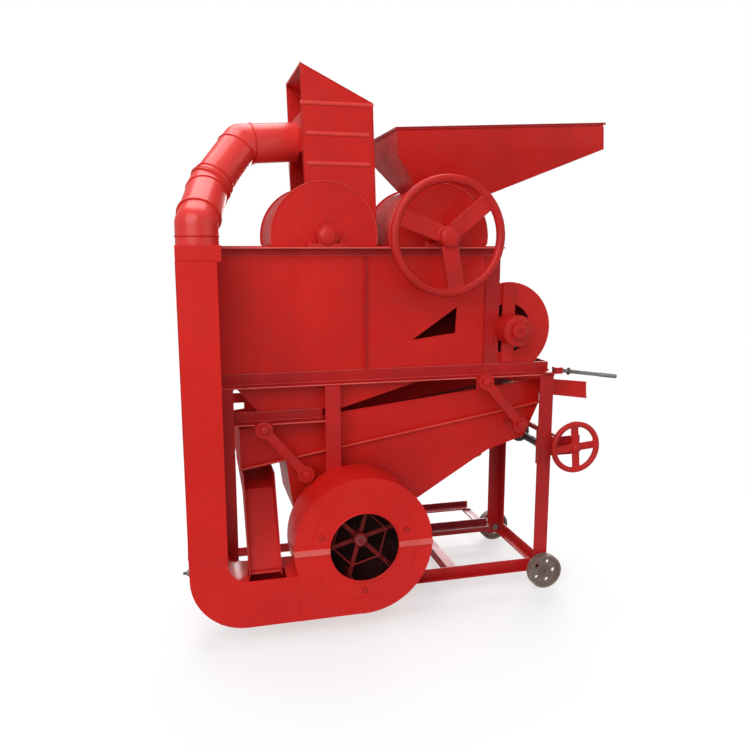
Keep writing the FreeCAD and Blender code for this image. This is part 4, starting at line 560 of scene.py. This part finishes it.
def makeBolts():
    look = boltPlaces
    centre = Vector(look["casingCentre"])
    parts = []
    for turn in look["casingTurns"]:
        angle = math.radians(turn)
        out = Vector((math.cos(angle), 0, math.sin(angle))) * look["casingCircle"]
        parts.append(hexHead(centre + out, (0, -1, 0)))
    for x in look["drums"]:
        for side in (-1, 1):
            for y in look["pillowRows"]:
                parts.append(hexHead((x + side * look["pillowReach"], y,
                                      look["drumHeight"] - look["pillowFoot"]), (0, 0, 1)))
    for y in look["uprightFaces"]:
        for z in look["uprightHeights"]:
            parts.append(hexHead((look["uprightX"], y, z), (0, 1 if y > 0 else -1, 0)))
    hand(smooth(join("bolts", parts)), "frame", "castRed", "zinc_bolt", "bolts")


makeBolts()
print("bolts done")

# Pulleys with wedge grooves.

pulleyPlaces = {
    "main_pulleys": ("main_rotor", 0.081, 1.095, 0.0175,
                     ((0.090, 0.205), (0.080, 0.230), (0.120, 0.300))),
    "second_pulleys": ("second_rotor", -0.255, 1.095, 0.0175, ((0.080, 0.230), (0.100, 0.255))),
    "fan_pulley": ("cleaning_fan", 0.305, 0.822, 0.012, ((0.045, 0.205),)),
    "blower_pulleys": ("lifting_blower", -0.188, 0.248, 0.012, ((0.030, 0.205), (0.040, 0.255))),
    "sieve_drive_pulley": ("eccentric", 0.421, 0.455, 0.012, ((0.075, 0.205),)),
}
pulleyLook = dict(half=0.012, groove=0.007, depth=0.012, rim=0.009, web=0.004, hub=0.011)


def makePulley(x, y, z, radius, bore):
    look = pulleyLook
    half, depth = look["half"], look["depth"]
    floor = radius - depth
    hub = bore + look["hub"]
    inner = floor - look["rim"]
    profile = [(bore, -half), (hub, -half)]
    if inner > hub + 0.006:
        profile += [(hub, -look["web"]), (inner, -look["web"]), (inner, -half)]
    profile += [(radius, -half), (radius, -look["groove"] - 0.001),
                (floor, -look["groove"] + 0.0002), (floor, look["groove"] - 0.0002),
                (radius, look["groove"] + 0.001), (radius, half)]
    if inner > hub + 0.006:
        profile += [(inner, half), (inner, look["web"]), (hub, look["web"])]
    profile += [(hub, half), (bore, half), (bore, -half)]
    wheel = lathe("pulley", profile, (x, y, z), 96)
    parts = [roundEdges(wheel, 0.0005, 1)]
    if inner > hub + 0.006:
        for turn in range(0, 360, 72):
            angle = math.radians(turn)
            middle = (hub + inner) / 2
            parts.append(dropShape("torus", (x + middle * math.cos(angle), y - look["web"],
                                             z + middle * math.sin(angle)), (math.pi / 2, 0, 0),
                                   major_radius=min(0.012, (inner - hub) * 0.36),
                                   minor_radius=0.0012, major_segments=28, minor_segments=8))
    parts.append(hexHead((x, y - half + 0.004, z + hub - 0.0015), (0, 0, 1), 0.003, 0.003))
    return parts


for node, (body, x, z, bore, wheels) in pulleyPlaces.items():
    parts = []
    for radius, plane in wheels:
        parts += makePulley(x, plane, z, radius, bore)
    hand(smooth(join(node + "Finished", parts)), body, "darkCast", "dark_iron", node)
print("pulleys done")

# Castings.

castLook = {"handwheel": (0.0022, 6), "tilt_handwheel": (0.0018, 5)}
for node, (voxel, rounds) in castLook.items():
    item = dressCopy(node)
    softCast(item, voxel, rounds)
    hand(item, bodyOf[node], "castRed", slotOf[node], node)

capLook = dict(handwheel=(0.081, -0.240, 1.095), tiltWheel=(0.516, -0.213, 0.452))


def domedCap(place, radius, height, direction=(0, -1, 0), steps=40):
    profile = [(radius, 0)]
    for step in range(1, 8):
        angle = math.radians(step * 90 / 7)
        profile.append((max(0.0004, radius * math.cos(angle)), height * math.sin(angle)))
    return smooth(lathe("domedCap", profile, place, steps, direction), 60)


def makeWheelCaps():
    x, y, z = capLook["handwheel"]
    parts = [domedCap((x, y + 0.0005, z), 0.026, 0.006),
             dropShape("torus", (x, y + 0.001, z), (math.pi / 2, 0, 0), major_radius=0.0275,
                       minor_radius=0.0016, major_segments=48, minor_segments=8)]
    hand(smooth(join("handwheelCap", parts), 60), "main_rotor", "castRed", "cast_red")
    x, y, z = capLook["tiltWheel"]
    parts = [domedCap((x, y, z), 0.0145, 0.008),
             dropShape("torus", (x, y + 0.001, z), (math.pi / 2, 0, 0), major_radius=0.0155,
                       minor_radius=0.0014, major_segments=40, minor_segments=8)]
    hand(smooth(join("tiltWheelCap", parts), 60), "tilt_handwheel", "castRed", "cast_red")


makeWheelCaps()

rockerLook = dict(run=0.115, drop=0.136, face=0.213, cap=0.012, dome=0.0035, lugSunk=0.0002,
                  armSunk=0.0022, left=(-0.443, 0.566),
                  right=(0.213, 0.566 + 0.656 * 0.150 / 0.931))


def makeRockerCaps():
    look = rockerLook
    upper, lower = [], []
    for x, z in (look["left"], look["right"]):
        for side in (-1, 1):
            out = (0, side, 0)
            upper.append(domedCap((x, side * (look["face"] - look["lugSunk"]), z), look["cap"],
                                  look["dome"], out, 28))
            lower.append(domedCap((x + look["run"], side * (look["face"] - look["armSunk"]),
                                   z - look["drop"]), look["cap"], look["dome"], out, 28))
    hand(join("upperRockerCaps", upper), "frame", "castRed", "cast_red")
    hand(join("lowerRockerCaps", lower), "sieve", "castRed", "cast_red")


makeRockerCaps()
print("castings done")

# Bearings: bore rings, grease nipples, shaft centres.

bearingLook = dict(
    pillows=((0.081, -0.162, 1.095, 0.0175), (0.081, 0.162, 1.095, 0.0175),
             (-0.255, -0.162, 1.095, 0.0175), (-0.255, 0.162, 1.095, 0.0175),
             (-0.188, -0.121, 0.248, 0.012), (-0.188, 0.121, 0.248, 0.012)),
    halfDepth=0.017, crown=0.0298, drumCap=(-0.255, -0.1788, 1.095), fan=(0.305, -0.218, 0.822),
    flange=(0.421, 0.455), flangeFace=0.171, flangeBack=0.185, flangeReach=0.038,
    flangeBolt=0.418, fanBoltCircle=0.0335)


def makeBearingTrim():
    look = bearingLook
    rings, nipples = [], []
    for x, y, z, bore in look["pillows"]:
        nipples.append(greaseNipple((x, y, z + look["crown"])))
        for side in (-1, 1):
            rings.append(dropShape("torus", (x, y + side * look["halfDepth"], z),
                                   (math.pi / 2, 0, 0), major_radius=bore + 0.0045,
                                   minor_radius=0.0014, major_segments=40, minor_segments=8))
            rings.append(hexHead((x, y + side * (look["halfDepth"] - 0.006), z + look["crown"]
                                  - 0.0006), (0, 0, 1), 0.0028, 0.0022))
    x, y, z = look["drumCap"]
    rings.append(domedCap((x, y, z), 0.0262, 0.010, (0, -1, 0), 32))
    x, y, z = look["fan"]
    rings.append(lathe("fanHousingFace", [(0.0005, 0.014), (0.0060, 0.014), (0.0075, 0.017),
                                          (0.0190, 0.017), (0.0230, 0.015), (0.0240, 0.010),
                                          (0.0240, 0.003), (0.0380, 0.003), (0.0420, 0.001),
                                          (0.0420, -0.001), (0.0005, -0.001)], (x, y, z), 64,
                       (0, -1, 0)))
    for turn in range(45, 405, 90):
        angle = math.radians(turn)
        nipples.append(hexHead((x + look["fanBoltCircle"] * math.cos(angle), y - 0.003,
                                z + look["fanBoltCircle"] * math.sin(angle)),
                               (0, -1, 0), 0.0034, 0.0026))
    x, z = look["flange"]
    for side in (-1, 1):
        for way in (-1, 1):
            nipples.append(hexHead((look["flangeBolt"], side * look["flangeFace"],
                                    z + way * look["flangeReach"]), (0, -side, 0), 0.0075, 0.006))
            nipples.append(hexHead((look["flangeBolt"], side * look["flangeBack"],
                                    z + way * look["flangeReach"]), (0, side, 0), 0.0075, 0.006))
    hand(smooth(join("bearingRings", rings), 50), "frame", "castRed", "cast_red")
    hand(smooth(join("greaseNipples", nipples), 50), "frame", "castRed", "zinc_bolt")


makeBearingTrim()
print("bearing trim done")

# Hopper rim, folds and welds.

hopperLook = dict(pivot=(0.160, 0, 1.205), tilt=-3.3, left=-0.196, right=0.447, half=0.140,
                  fold=0.126, brim=0.201, rim=0.0030, throatLeft=-0.105, throatRight=0.065,
                  throatHalf=0.070, drumShare=0.32, weld=0.0022, weldStop=0.014, footLeft=0.020)


def hopperSpot(x, y, z):
    turn = Matrix.Rotation(math.radians(hopperLook["tilt"]), 4, "Y")
    return Vector(hopperLook["pivot"]) + turn @ Vector((x, y, z))


def makeHopperTrim():
    look = hopperLook
    lip = look["rim"] * 0.9
    left, right, half = look["left"] - lip, look["right"] + lip, look["half"] + lip
    corners = [(left, -half), (right, -half), (right, half), (left, half)]
    parts, welds = [], []
    for index, (x, y) in enumerate(corners):
        farX, farY = corners[(index + 1) % 4]
        here = hopperSpot(x, y, look["brim"] - look["rim"])
        parts.append(barBetween(here, hopperSpot(farX, farY, look["brim"] - look["rim"]),
                                look["rim"], 14))
        parts.append(dropShape("uv_sphere", here, segments=14, ring_count=9, radius=look["rim"]))
    hand(smooth(join("hopperRim", parts), 60), "frame", "railRed", "red_sheet")
    for x, near, share in ((look["left"], look["throatLeft"], look["drumShare"]),
                           (look["right"], look["throatRight"], 0)):
        for side in (-1, 1):
            foot = hopperSpot(near, side * look["throatHalf"], 0)
            fold = hopperSpot(x, side * look["half"], look["fold"])
            top = hopperSpot(x, side * look["half"], look["brim"] - look["weldStop"])
            welds.append(weldLine(foot.lerp(fold, share), fold, look["weld"]))
            welds.append(weldLine(fold, top, look["weld"]))
    for side in (-1, 1):
        y = side * look["throatHalf"]
        welds.append(weldLine(hopperSpot(look["footLeft"], y, 0),
                              hopperSpot(look["throatRight"], y, 0), look["weld"]))
    hand(smooth(join("hopperWelds", welds), 60), "frame", "sheetRed", "red_sheet")


makeHopperTrim()
print("hopper trim done")

# Tower ribs, pipe rings, duct seams and drum welds.

towerLook = dict(face=-0.1362, ribs=(1.4486, 1.370, 1.291), topLeft=-0.317, topRight=-0.117,
                 footLeft=-0.308, footRight=-0.105, top=1.550, eave=1.454, foot=1.068, rib=0.0056,
                 weld=0.002, weldLow=1.225, weldStop=0.125)


def towerEdge(z, left):
    look = towerLook
    share = (z - look["foot"]) / ((look["top"] if left else look["eave"]) - look["foot"])
    side = "Left" if left else "Right"
    first, last = look["foot" + side], look["top" + side]
    return first + (last - first) * share


def makeTowerTrim():
    look = towerLook
    ribs, welds = [], []
    for index, z in enumerate(look["ribs"]):
        inset = 0.002 if index == 0 else 0.016
        start = Vector((towerEdge(z, True) + inset, look["face"], z))
        end = Vector((towerEdge(z, False) - inset, look["face"], z))
        rib = barBetween(start, end, look["rib"], 16)
        rib.scale = (1, 0.7, 1)
        rib.location.y = look["face"] * 0.3
        ribs.append(settle(rib))
        for tip in (start, end):
            ribs.append(dropShape("uv_sphere", tip, stretch=(1, 0.7, 1), segments=14, ring_count=9,
                                  radius=look["rib"]))
    # the ribs carry the pale red as a painted highlight along their ridges
    hand(smooth(join("towerRibs", ribs), 60), "frame", "highlightRed", "red_sheet")
    for side in (-1, 1):
        y = side * abs(look["face"])
        eave = (look["topRight"], y, look["eave"])
        welds.append(weldLine((look["footRight"], y, look["foot"] + 0.01), eave, look["weld"]))
        welds.append(weldLine(eave, (look["topLeft"], y, look["top"]), look["weld"]))
        welds.append(weldLine((look["footLeft"], y, look["weldLow"]),
                              (look["topLeft"], y, look["top"] - look["weldStop"]), look["weld"]))
    hand(smooth(join("towerWelds", welds), 60), "frame", "sheetRed", "red_sheet")


makeTowerTrim()

pipeLook = dict(path=((-0.312, -0.010, 1.362), (-0.471, -0.036, 1.348), (-0.566, -0.130, 1.222),
                      (-0.604, -0.256, 1.122), (-0.604, -0.256, 1.032)),
                radius=0.054, seam=0.0022, flange=0.012, flangeRadius=0.058)


def ringAt(place, direction, radius, size):
    return dropShape("torus", place, aim(direction), major_radius=radius, minor_radius=size,
                     major_segments=56, minor_segments=8)


def makePipeTrim():
    look = pipeLook
    spots = [Vector(place) for place in look["path"]]
    rings = []
    for before, turn, after in zip(spots, spots[1:], spots[2:]):
        for far in (before, after):
            way = (far - turn).normalized()
            if (far - turn).length > 0.08:
                rings.append(ringAt(turn + way * 0.030, way, look["radius"] + 0.0004, look["seam"]))
    way = (spots[2] - spots[1]).normalized()
    joint = spots[2] - way * look["flange"]
    bolts = []
    side = way.cross(Vector((0, 0, 1))).normalized()
    up = side.cross(way)
    rings.append(ringAt(joint, way, look["flangeRadius"], 0.0016))
    hand(smooth(join("pipeRings", rings), 60), "frame", "sheetRed", "red_sheet")
    for turn in range(20, 380, 60):
        angle = math.radians(turn)
        out = side * math.cos(angle) + up * math.sin(angle)
        bolts.append(dropShape("uv_sphere", joint + out * (look["flangeRadius"] + 0.0006),
                               segments=12, ring_count=8, radius=0.0026))
    # the pins carry the pale red as a painted highlight
    hand(smooth(join("pipeFlangePins", bolts), 60), "frame", "highlightRed", "zinc_bolt")


makePipeTrim()

seamLook = dict(duct=(-0.660, -0.560, -0.3275, -0.185), ductSeams=(0.262,), casing=(-0.188, 0.248),
                casingFace=-0.3272, ringRadius=0.150, inlet=0.0995, rimRadius=0.1955,
                seam=0.0013, weld=0.0015, weldLow=0.24, weldHigh=1.028, rimStart=-140, rimSweep=295,
                stub=(-0.660, -0.306, 0.218), drumRim=0.1502, drumFace=-0.1405, drumHeight=1.095,
                drumCentres=(0.081, -0.255), drumStart=-8, drumSweep=196, drumWeld=0.0021)


def makeDuctTrim():
    look = seamLook
    left, right, front, rear = look["duct"]
    x, z = look["casing"]
    parts = []
    for height in look["ductSeams"]:
        parts.append(barBetween((left, front, height), (right, front, height), look["seam"], 8))
        for edgeX in (left - 0.0005, right):
            parts.append(barBetween((edgeX, front, height), (edgeX, rear, height), look["seam"], 8))
    for edgeX in (left + 0.0006, right - 0.0006):
        parts.append(weldLine((edgeX, front + 0.0008, look["weldLow"]),
                              (edgeX, front + 0.0008, look["weldHigh"]), look["weld"]))
    parts.append(ringAt((x, look["casingFace"], z), (0, 1, 0), look["ringRadius"], 0.0011))
    parts.append(ringAt((x, look["casingFace"] - 0.0006, z), (0, 1, 0), look["inlet"], 0.0026))
    parts.append(weldArc((x, look["casingFace"] + 0.0012, z), look["rimRadius"],
                         math.radians(look["rimStart"]), math.radians(look["rimSweep"]), 0.0017))
    hand(smooth(join("ductTrim", parts), 60), "frame", "ductRed", "red_sheet")
    place = look["stub"]
    parts = [hexHead(place, (-1, 0, 0), 0.0085, 0.006),
             stud((place[0] - 0.006, place[1], place[2]), (-1, 0, 0), 0.0042, 0.009, 6)]
    hand(smooth(join("ductStub", parts), 50), "frame", "wornSteel", "zinc_bolt")


makeDuctTrim()


def makeDrumWelds():
    look = seamLook
    parts = []
    for x in look["drumCentres"]:
        for face in (look["drumFace"], -look["drumFace"]):
            parts.append(weldArc((x, face, look["drumHeight"]), look["drumRim"],
                                 math.radians(look["drumStart"]),
                                 math.radians(look["drumSweep"]), look["drumWeld"]))
    # the weld beads carry the pale red as a painted highlight on the disc edge
    hand(smooth(join("drumWelds", parts), 60), "frame", "highlightRed", "red_sheet")


makeDrumWelds()
print("tower, pipe, duct and drum trim done")

# Impeller rods, sieve edges, frame welds.

impellerLook = dict(centre=(-0.188, -0.256, 0.248), turns=(15, 75, 135, 195, 255, 315), reach=0.082,
                    rod=0.0028, rodFront=0.006, hubFront=0.026)


def makeImpellerRods():
    look = impellerLook
    x, y, z = look["centre"]
    spots = []
    for turn in look["turns"]:
        angle = math.radians(turn)
        spots.append(Vector((x + look["reach"] * math.cos(angle), y - look["rodFront"],
                             z + look["reach"] * math.sin(angle))))
    parts = [barBetween(spot, spots[(index + 1) % 6], look["rod"], 10)
             for index, spot in enumerate(spots)]
    for spot in spots:
        parts.append(hexHead(spot, (0, -1, 0), 0.0055, 0.004))
    profile = [(0.0005, 0), (0.010, 0), (0.0105, -0.003), (0.019, -0.004), (0.0205, -0.006),
               (0.0205, -0.010)]
    parts.append(lathe("impellerHubFace", profile, (x, y - look["hubFront"], z), 40, (0, -1, 0)))
    # the rods and hub face take the darker red as painted shade inside the blower
    hand(smooth(join("impellerRods", parts), 50), "lifting_blower", "shadedInsideRed", "red_sheet")


makeImpellerRods()

sieveLook = dict(left=(-0.506, 0.553), right=(0.425, 0.659), tray=(0.588, 0.640), side=0.1265,
                 roll=0.0026, lip=(0.592, 0.590), band=((-0.500, 0.4385), (0.423, 0.5872)),
                 bandOut=0.0105, bandRadius=0.0036)


def makeSieveEdges():
    look = sieveLook
    parts = []
    for side in (-1, 1):
        y = side * look["side"]
        spots = [Vector((x, y, z)) for x, z in (look["left"], look["right"], look["tray"])]
        for start, end in zip(spots, spots[1:]):
            parts.append(barBetween(start, end, look["roll"], 12))
            parts.append(dropShape("uv_sphere", end, segments=12, ring_count=8,
                                   radius=look["roll"]))
    x, z = look["lip"]
    parts.append(barBetween((x, -look["side"], z), (x, look["side"], z), look["roll"], 12))
    x, z = look["left"]
    parts.append(barBetween((x + 0.0015, -look["side"], z - 0.002),
                            (x + 0.0015, look["side"], z - 0.002), look["roll"], 12))
    hand(smooth(join("sieveEdges", parts), 60), "sieve", "sheetRed", "red_sheet")
    bands = []
    for side in (-1, 1):
        y = side * (look["side"] + look["bandOut"])
        start, end = (Vector((x, y, z)) for x, z in look["band"])
        bands.append(barBetween(start, end, look["bandRadius"], 12))
        for tip in (start, end):
            bands.append(dropShape("uv_sphere", tip, segments=12, ring_count=8,
                                   radius=look["bandRadius"]))
    # the bands carry the pale red as a painted highlight along the sieve side
    hand(smooth(join("sieveBands", bands), 60), "sieve", "highlightRed", "red_sheet")


makeSieveEdges()

frameLook = dict(left=-0.568, right=0.443, front=-0.185, rear=0.185, leg=0.045, table=0.680,
                 base=(0.049, 0.079), hanger=0.575, post=-0.268, weld=0.0024, hangerWeld=0.0022)


def makeFrameWelds():
    look = frameLook
    low, high = look["base"]
    postRight = look["post"] + look["leg"]
    lines = []
    for y in (look["front"], look["rear"]):
        inward = 1 if y < 0 else -1
        for x, way in ((look["left"], 1), (look["right"], -1)):
            edge = x + way * look["leg"]
            near, far = y + inward * 0.001, y + inward * 0.030
            lines += [((x, y, look["table"]), (edge, y, look["table"])),
                      ((x, y, look["table"]), (x, y + inward * look["leg"], look["table"])),
                      ((edge, near, low + 0.001), (edge, near, low + 0.004)),
                      ((edge, far, low), (edge, far, high))]
        for x in (look["post"], postRight):
            near = y + inward * 0.0006
            lines.append(((x, near, high), (x, near, high + 0.004)))
        lines.append(((look["post"], y, look["table"]), (postRight, y, look["table"])))
    parts = [weldLine(start, end, look["weld"]) for start, end in lines]
    for y in (look["front"], look["rear"]):
        inward = 1 if y < 0 else -1
        parts.append(weldLine((look["post"], y + inward * 0.001, look["hanger"]),
                              (look["post"], y + inward * 0.040, look["hanger"]),
                              look["hangerWeld"]))
    hand(smooth(join("frameWelds", parts), 60), "frame", "ironRed", "red_iron")


makeFrameWelds()

rodLook = dict(start=(0.441, -0.181, 0.696), slope=8, length=0.221, radius=0.006, thread=0.060,
               nut=0.052, axle=(0.427, 0.2268, 0.054), axleRadius=0.0062)


def makeRodTrim():
    look = rodLook
    lean = math.radians(look["slope"])
    way = Vector((math.cos(lean), 0, -math.sin(lean)))
    start = Vector(look["start"])
    parts = [stud(start + way * (look["length"] - look["thread"]), way, look["radius"] + 0.0006,
                  look["thread"] - 0.002, 34),
             hexHead(start + way * look["nut"], way, 0.009, 0.007)]
    hand(smooth(join("drawRodTrim", parts), 50), "draw_rod", "wornSteel", "steel_shaft")
    x, y, z = look["axle"]
    ends = [stud((x, side * y, z), (0, side, 0), look["axleRadius"], 0.004, 3) for side in (-1, 1)]
    hand(smooth(join("axleEnds", ends), 50), "frame", "wheelIron", "steel_shaft")


makeRodTrim()
print("impeller, sieve, frame and rod trim done")

# Floor, lights, camera.

stageLook = dict(floorRadius=9.0, fadeFrom=0.0, fadeTo=0.20, floorShade=0.93, worldLight=0.36,
                 floorGlow=0.45, lensLength=35.18, lensSensor=36.0,
                 cameraPlace=(-0.640, -2.186, 1.065), cameraTurn=(80.1, 0, -14.5),
                 lampTarget=(0, 0, 0.8))


def makeStage():
    clearPick()
    bpy.ops.mesh.primitive_circle_add(vertices=96, radius=stageLook["floorRadius"],
                                      fill_type="NGON", location=(0, 0, -0.0005))
    floor = bpy.context.view_layer.objects.active
    floor.name = "floor"
    material = bpy.data.materials.new("paleFloor")
    material.use_nodes = True
    tree = material.node_tree
    tree.nodes.clear()
    place = addNode(tree, "TexCoord").outputs["Object"]
    mapping = addNode(tree, "Mapping", {"Vector": place})
    mapping.inputs["Scale"].default_value = (1 / stageLook["floorRadius"],) * 3
    away = addNode(tree, "VectorMath", {"Vector": mapping.outputs[0]}, operation="LENGTH")
    fade = levelOf(tree, away.outputs["Value"], stageLook["floorGlow"], 1, stageLook["fadeFrom"],
                   stageLook["fadeTo"])
    matt = addNode(tree, "BsdfDiffuse")
    matt.inputs["Color"].default_value = (stageLook["floorShade"],) * 3 + (1,)
    glow = addNode(tree, "Emission")
    glow.inputs["Color"].default_value = (1, 1, 1, 1)
    dim = addNode(tree, "Emission")
    dim.inputs["Color"].default_value = (1, 1, 1, 1)
    dim.inputs["Strength"].default_value = stageLook["worldLight"]
    seen = addNode(tree, "LightPath").outputs["Is Camera Ray"]
    both = addNode(tree, "MixShader", {"Fac": seen})
    tree.links.new(dim.outputs[0], both.inputs[1])
    tree.links.new(glow.outputs[0], both.inputs[2])
    mix = addNode(tree, "MixShader", {"Fac": fade})
    tree.links.new(matt.outputs[0], mix.inputs[1])
    tree.links.new(both.outputs[0], mix.inputs[2])
    out = addNode(tree, "OutputMaterial")
    tree.links.new(mix.outputs[0], out.inputs["Surface"])
    floor.data.materials.append(material)

    world = bpy.data.worlds.new("studio")
    bpy.context.scene.world = world
    world.use_nodes = True
    tree = world.node_tree
    tree.nodes.clear()
    path = addNode(tree, "LightPath")
    shown = sumOf(tree, path.outputs["Is Camera Ray"], path.outputs["Is Transmission Ray"],
                  "MAXIMUM")
    strength = addNode(tree, "MapRange", {"Value": shown})
    strength.inputs["To Min"].default_value = stageLook["worldLight"]
    strength.inputs["To Max"].default_value = 1.0
    back = addNode(tree, "Background", {"Strength": strength.outputs[0]})
    back.inputs["Color"].default_value = (1, 1, 1, 1)
    out = addNode(tree, "OutputWorld")
    tree.links.new(back.outputs[0], out.inputs["Surface"])


lampLook = {
    "keyLamp": dict(place=(-2.4, -3.6, 3.0), power=160, size=4.0),
    "fillLamp": dict(place=(3.2, -2.8, 1.6), power=18, size=3.0),
    "topLamp": dict(place=(-0.4, 0.9, 4.2), power=110, size=3.0),
    "backLamp": dict(place=(2.3, 3.8, 1.9), power=210, size=3.0),
}


def makeLamps():
    for name, look in lampLook.items():
        clearPick()
        bpy.ops.object.light_add(type="AREA", location=look["place"])
        lamp = bpy.context.view_layer.objects.active
        lamp.name = name
        lamp.data.energy = look["power"]
        lamp.data.size = look["size"]
        toward = Vector(stageLook["lampTarget"]) - Vector(look["place"])
        lamp.rotation_euler = toward.to_track_quat("-Z", "Y").to_euler()


def makeCamera():
    clearPick()
    bpy.ops.object.camera_add(location=stageLook["cameraPlace"],
                              rotation=[math.radians(turn) for turn in stageLook["cameraTurn"]])
    camera = bpy.context.view_layer.objects.active
    camera.name = "photoCamera"
    camera.data.lens = stageLook["lensLength"]
    camera.data.sensor_width = stageLook["lensSensor"]
    bpy.context.scene.camera = camera


makeStage()
makeLamps()
makeCamera()
bpy.context.scene.view_settings.view_transform = "Standard"
print("stage, lamps and camera ready")
